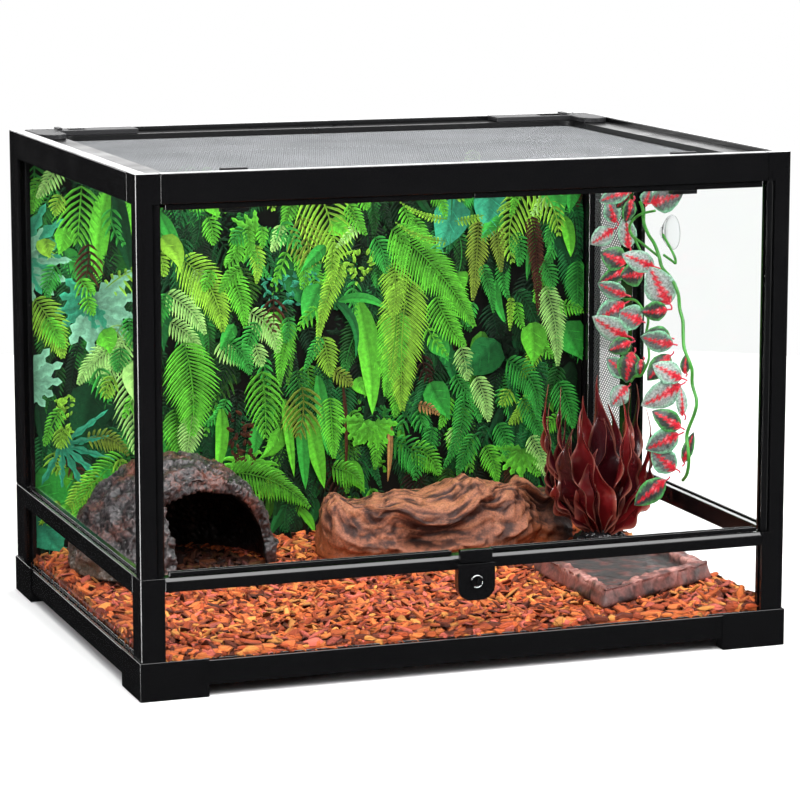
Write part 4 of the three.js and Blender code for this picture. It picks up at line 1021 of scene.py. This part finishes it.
# y and z along each stem
stems = [
    [(39, 384), (37, 375), (36, 363), (21, 353), (2, 347), (-13, 337), (-20, 326), (-37, 317), (-47, 304),
     (-50, 290), (-61, 280), (-68, 268), (-74, 256), (-84, 245), (-86, 236), (-82, 222), (-91, 208), (-91, 196),
     (-80, 174), (-86, 161), (-87, 149), (-78, 135), (-64, 126)],
    [(-13, 337), (-29, 334), (-43, 333), (-47, 339), (-40, 347), (-20, 358)],
    [(93, 353), (61, 348), (21, 342), (-12, 336)],
    [(5, 378), (32, 372), (51, 363), (60, 354), (53, 345), (44, 335)],
    [(71, 283), (41, 286), (24, 278), (19, 270), (28, 252), (20, 242), (14, 232), (18, 221), (26, 214), (44, 210),
     (58, 203)],
]
# root y and z, how far the tip is to the right and up as seen from the front left, width, and which shade
vineLeaves = [
    (55, 394, -31, -11, 15, 1), (62, 391, -12, -15, 13, 2), (54, 387, -5, -24, 13, 2), (22, 383, 32, 10, 24, 1),
    (27, 380, 5, 15, 13, 1), (93, 354, -7, 23, 16, 1), (97, 352, -23, -16, 18, 0), (63, 331, -3, 33, 17, 0),
    (60, 319, -25, 11, 22, 2), (60, 318, -29, -17, 14, 2), (20, 317, -23, -5, 22, 2), (-11, 323, -32, 14, 19, 0),
    (-38, 288, -20, 37, 28, 0), (59, 287, -29, 12, 16, 1), (61, 284, -29, -20, 21, 1), (24, 266, -23, 10, 24, 1),
    (-38, 288, -26, -3, 18, 2), (50, 246, -36, 20, 22, 0), (-44, 260, -26, 5, 18, 2), (48, 245, -23, -9, 16, 2),
    (48, 238, -6, -32, 22, 2), (53, 207, -23, 18, 18, 1), (58, 201, -16, -21, 18, 0), (27, 232, -1, -18, 10, 2),
    (-52, 255, -32, 7, 20, 1), (-44, 248, -22, -26, 18, 2), (-75, 224, -28, 15, 20, 0), (-72, 223, -38, -22, 24, 0),
    (-72, 228, 1, 20, 9, 2), (-71, 186, -2, 30, 10, 0), (-71, 176, -28, 17, 19, 2), (-69, 174, -32, -16, 22, 1),
    (-62, 133, -23, 20, 22, 1), (-67, 140, 10, 31, 10, 2), (-39, 125, -30, -26, 20, 2),
]


def addTube(heap, path, radius, tint, sides=8):
    path = np.asarray(path, float)
    along = headings(path)
    side = np.cross(along, (0.31, 0.2, 0.93))
    side /= np.linalg.norm(side, axis=1)[:, None]
    other = np.cross(along, side)
    turn = np.linspace(0, 2 * math.pi, sides, endpoint=False)[:, None]
    points = np.vstack([p + radius * (np.cos(turn) * s + np.sin(turn) * o) for p, s, o in zip(path, side, other)])
    faces = [tuple(range(sides)), tuple(range(len(points) - 1, len(points) - 1 - sides, -1))]
    for k in range(len(path) - 1):
        for i in range(sides):
            a, b = k * sides + i, k * sides + (i + 1) % sides
            faces.append((b, a, a + sides, b + sides))
    heap.add(points, faces, tint)


def smoothPath(points, count):
    # a curve through the points
    points = np.asarray(points, float)
    out = []
    for v in np.linspace(0, len(points) - 1, count):
        i = min(int(v), len(points) - 2)
        f = v - i
        p0, p1, p2, p3 = points[max(i - 1, 0)], points[i], points[i + 1], points[min(i + 2, len(points) - 1)]
        curve = (2 * p0 - 5 * p1 + 4 * p2 - p3) * f**2 + (3 * p1 - p0 - 3 * p2 + p3) * f**3
        out.append(0.5 * (2 * p1 + (p2 - p0) * f + curve))
    return np.array(out)


def leafReach(right, up):
    # most leaves lie across the view from the front left, and those to the right turn toward the front
    return np.array([right * 0.94, -right * 0.336, up] if right < 6 else [right * 0.66, -right * 0.8, up])


heap = Heap()
for k, path in enumerate(stems):
    route = [(vine["plane"] + 3 * math.sin(i * 0.9 + k), y, z) for i, (y, z) in enumerate(path)]
    radius = vine["stemRadius"] * (1 if k == 0 else vine["branch"])
    addTube(heap, smoothPath(route, len(path) * 6), radius, rgb(vine["green"]))
for y, z, right, up, width, shade in vineLeaves:
    root = np.array([vine["plane"], y, z])
    reach = leafReach(right, up)
    route = [root, root + reach * 0.08 + (1.5, 0, 0), root + reach * 0.2]
    addTube(heap, smoothPath(route, 5), vine["petiole"], rgb(vine["stalk"]))
heap.piece("vineStems", greenPe, "tank", slot="vine_leaf", replaces=("hanging_vine",))

t = np.linspace(0, 1, vine["rows"] + 1)
u = np.linspace(-1, 1, vine["columns"] + 1)
heap = Heap()
for k, (y, z, right, up, width, shade) in enumerate(vineLeaves):
    reach = leafReach(right, up)
    along = reach / np.linalg.norm(reach)
    toward = np.array([-0.336 - 0.25 * math.sin(k * 2.3), -0.94, 0.25 * math.cos(k * 1.7)])
    across = np.cross(toward, along)
    across /= np.linalg.norm(across)
    normal = np.cross(along, across)
    normal *= np.sign(normal @ toward)
    root = np.array([vine["plane"] - 1.0 * (k % 3), y, z]) + reach * 0.12
    share = np.interp(t, *vine["outline"])
    body, edge = (rgb(colour) for colour in vine["shades"][shade])
    front, tints = [], []
    for i, s in enumerate(t):
        spine = root + reach * 0.98 * s + normal * (3.0 * math.sin(math.pi * s) - 2.5 * s**2)
        for v in u:
            fold = abs(v) * (1.792 * share[i] + 0.5 * math.sin(s * 14 + v * 3 + k))
            front.append(spine + across * v * share[i] * width * 0.56 - normal * fold)
            flame = (0.42 - 0.36 * s) * (1.25 if i % 2 == 0 else 0.75) - abs(v) * share[i] * 1.12
            fleck = noise.noise(Vector((v * 7 + k, s * 16, k * 1.3)))
            rimShare = np.clip((abs(v) - 0.62) * 3 + fleck * 0.8, 0, 1)
            tone = body * (1.0 + 0.55 * fleck) * (1 - rimShare) + edge * rimShare
            if flame > 0 and s < 0.9:
                tone = rgb(vine["flame"] if flame > 0.05 else vine["spark"])
            tints.append(tone)
    points = np.vstack([front, np.array(front) - normal * vine["thick"]])
    # painted shade: the rear face of each leaf is drawn at three quarters of the front
    tints = np.clip(np.vstack([tints, np.array(tints) * 0.75]), 0, 1)
    heap.add(points, skinned(len(t), len(u)), tints)
heap.piece("vineLeaves", printedPe, "tank", slot="vine_leaf")
print("vine hung")

# suction cup: a shallow bell against the glass with a grip knob, as shares of its radius and depth
cup = {
    "sides": 40,
    "profile": [
        (0, 0.45), (0.55, 0.4), (0.92, 0.12), (1.0, 0.0), (1.0, 0.08), (0.9, 0.28), (0.6, 0.62), (0.3, 0.72),
        (0.24, 0.8), (0.24, 0.92), (0.32, 0.97), (0.28, 1.0), (0, 1.0),
    ],
}
low, high = boxOf("suction_cup")
middle = (low + high) / 2
radius, depth, sides = (high[1] - low[1]) / 2, high[0] - low[0], cup["sides"]
turn = np.linspace(0, 2 * math.pi, sides, endpoint=False)
points = [(high[0] - inward * depth, middle[1] + share * radius * math.cos(a), middle[2] + share * radius * math.sin(a))
          for share, inward in cup["profile"] for a in turn]
faces = []
for i in range(len(cup["profile"]) - 1):
    for k in range(sides):
        a, b = i * sides + k, i * sides + (k + 1) % sides
        faces.append((a, b, b + sides, a + sides))
makePiece("suctionCup", points, faces, clearVinyl, "tank", slot="clear_vinyl", replaces=("suction_cup",))

# the bolt's thumb block, level with the door strips
low, high = boxOf("latch_bolt")
block = {"half": 15.2, "back": 5.6, "front": -0.1, "base": 0.6, "top": 12.4, "round": 1.1, "arcSteps": 4}
middleZ = low[2] + (block["base"] + block["top"]) / 2
reachX = block["half"] - block["round"]
reachZ = (block["top"] - block["base"]) / 2 - block["round"]
outline = []
for cx, cz, start in ((1, 1, 0), (-1, 1, 90), (-1, -1, 180), (1, -1, 270)):
    for a in np.radians(np.linspace(start, start + 90, block["arcSteps"] + 1)):
        outline.append((cx * reachX + block["round"] * math.cos(a), cz * reachZ + block["round"] * math.sin(a)))
n = len(outline)
face = low[1] + block["front"]
layers = [(low[1] + block["back"], 1.0), (face + 0.9, 1.0), (face + 0.3, 0.975), (face, 0.94)]
points = [(x * s, y, middleZ + z * s**3) for y, s in layers for x, z in outline]
faces = [tuple(range(n)), tuple(range(4 * n - 1, 3 * n - 1, -1))]
faces += [(i * n + k, i * n + (k + 1) % n, (i + 1) * n + (k + 1) % n, (i + 1) * n + k) for i in range(3) for k in range(n)]
makePiece("thumbBlock", points, faces, glossyAbs, "bolt", slot="black_plastic", replaces=("latch_bolt",), smooth=False)

# the key's bright ring on the latch, open at one side
keyRing = {"radius": 5.4, "wire": 0.55, "from": -120, "to": 165, "steps": 40, "proud": 0.35}
low, high = boxOf("key_cylinder")
middle = (low + high) / 2
arc = [(middle[0] + keyRing["radius"] * math.cos(a), low[1] - keyRing["proud"], middle[2] + keyRing["radius"] * math.sin(a))
       for a in np.radians(np.linspace(keyRing["from"], keyRing["to"], keyRing["steps"]))]
heap = Heap()
addTube(heap, arc, keyRing["wire"], rgb("#FFFFFF"))
heap.piece("keyRing", chromeZinc, "key", slot="key_metal")
print("small parts made")
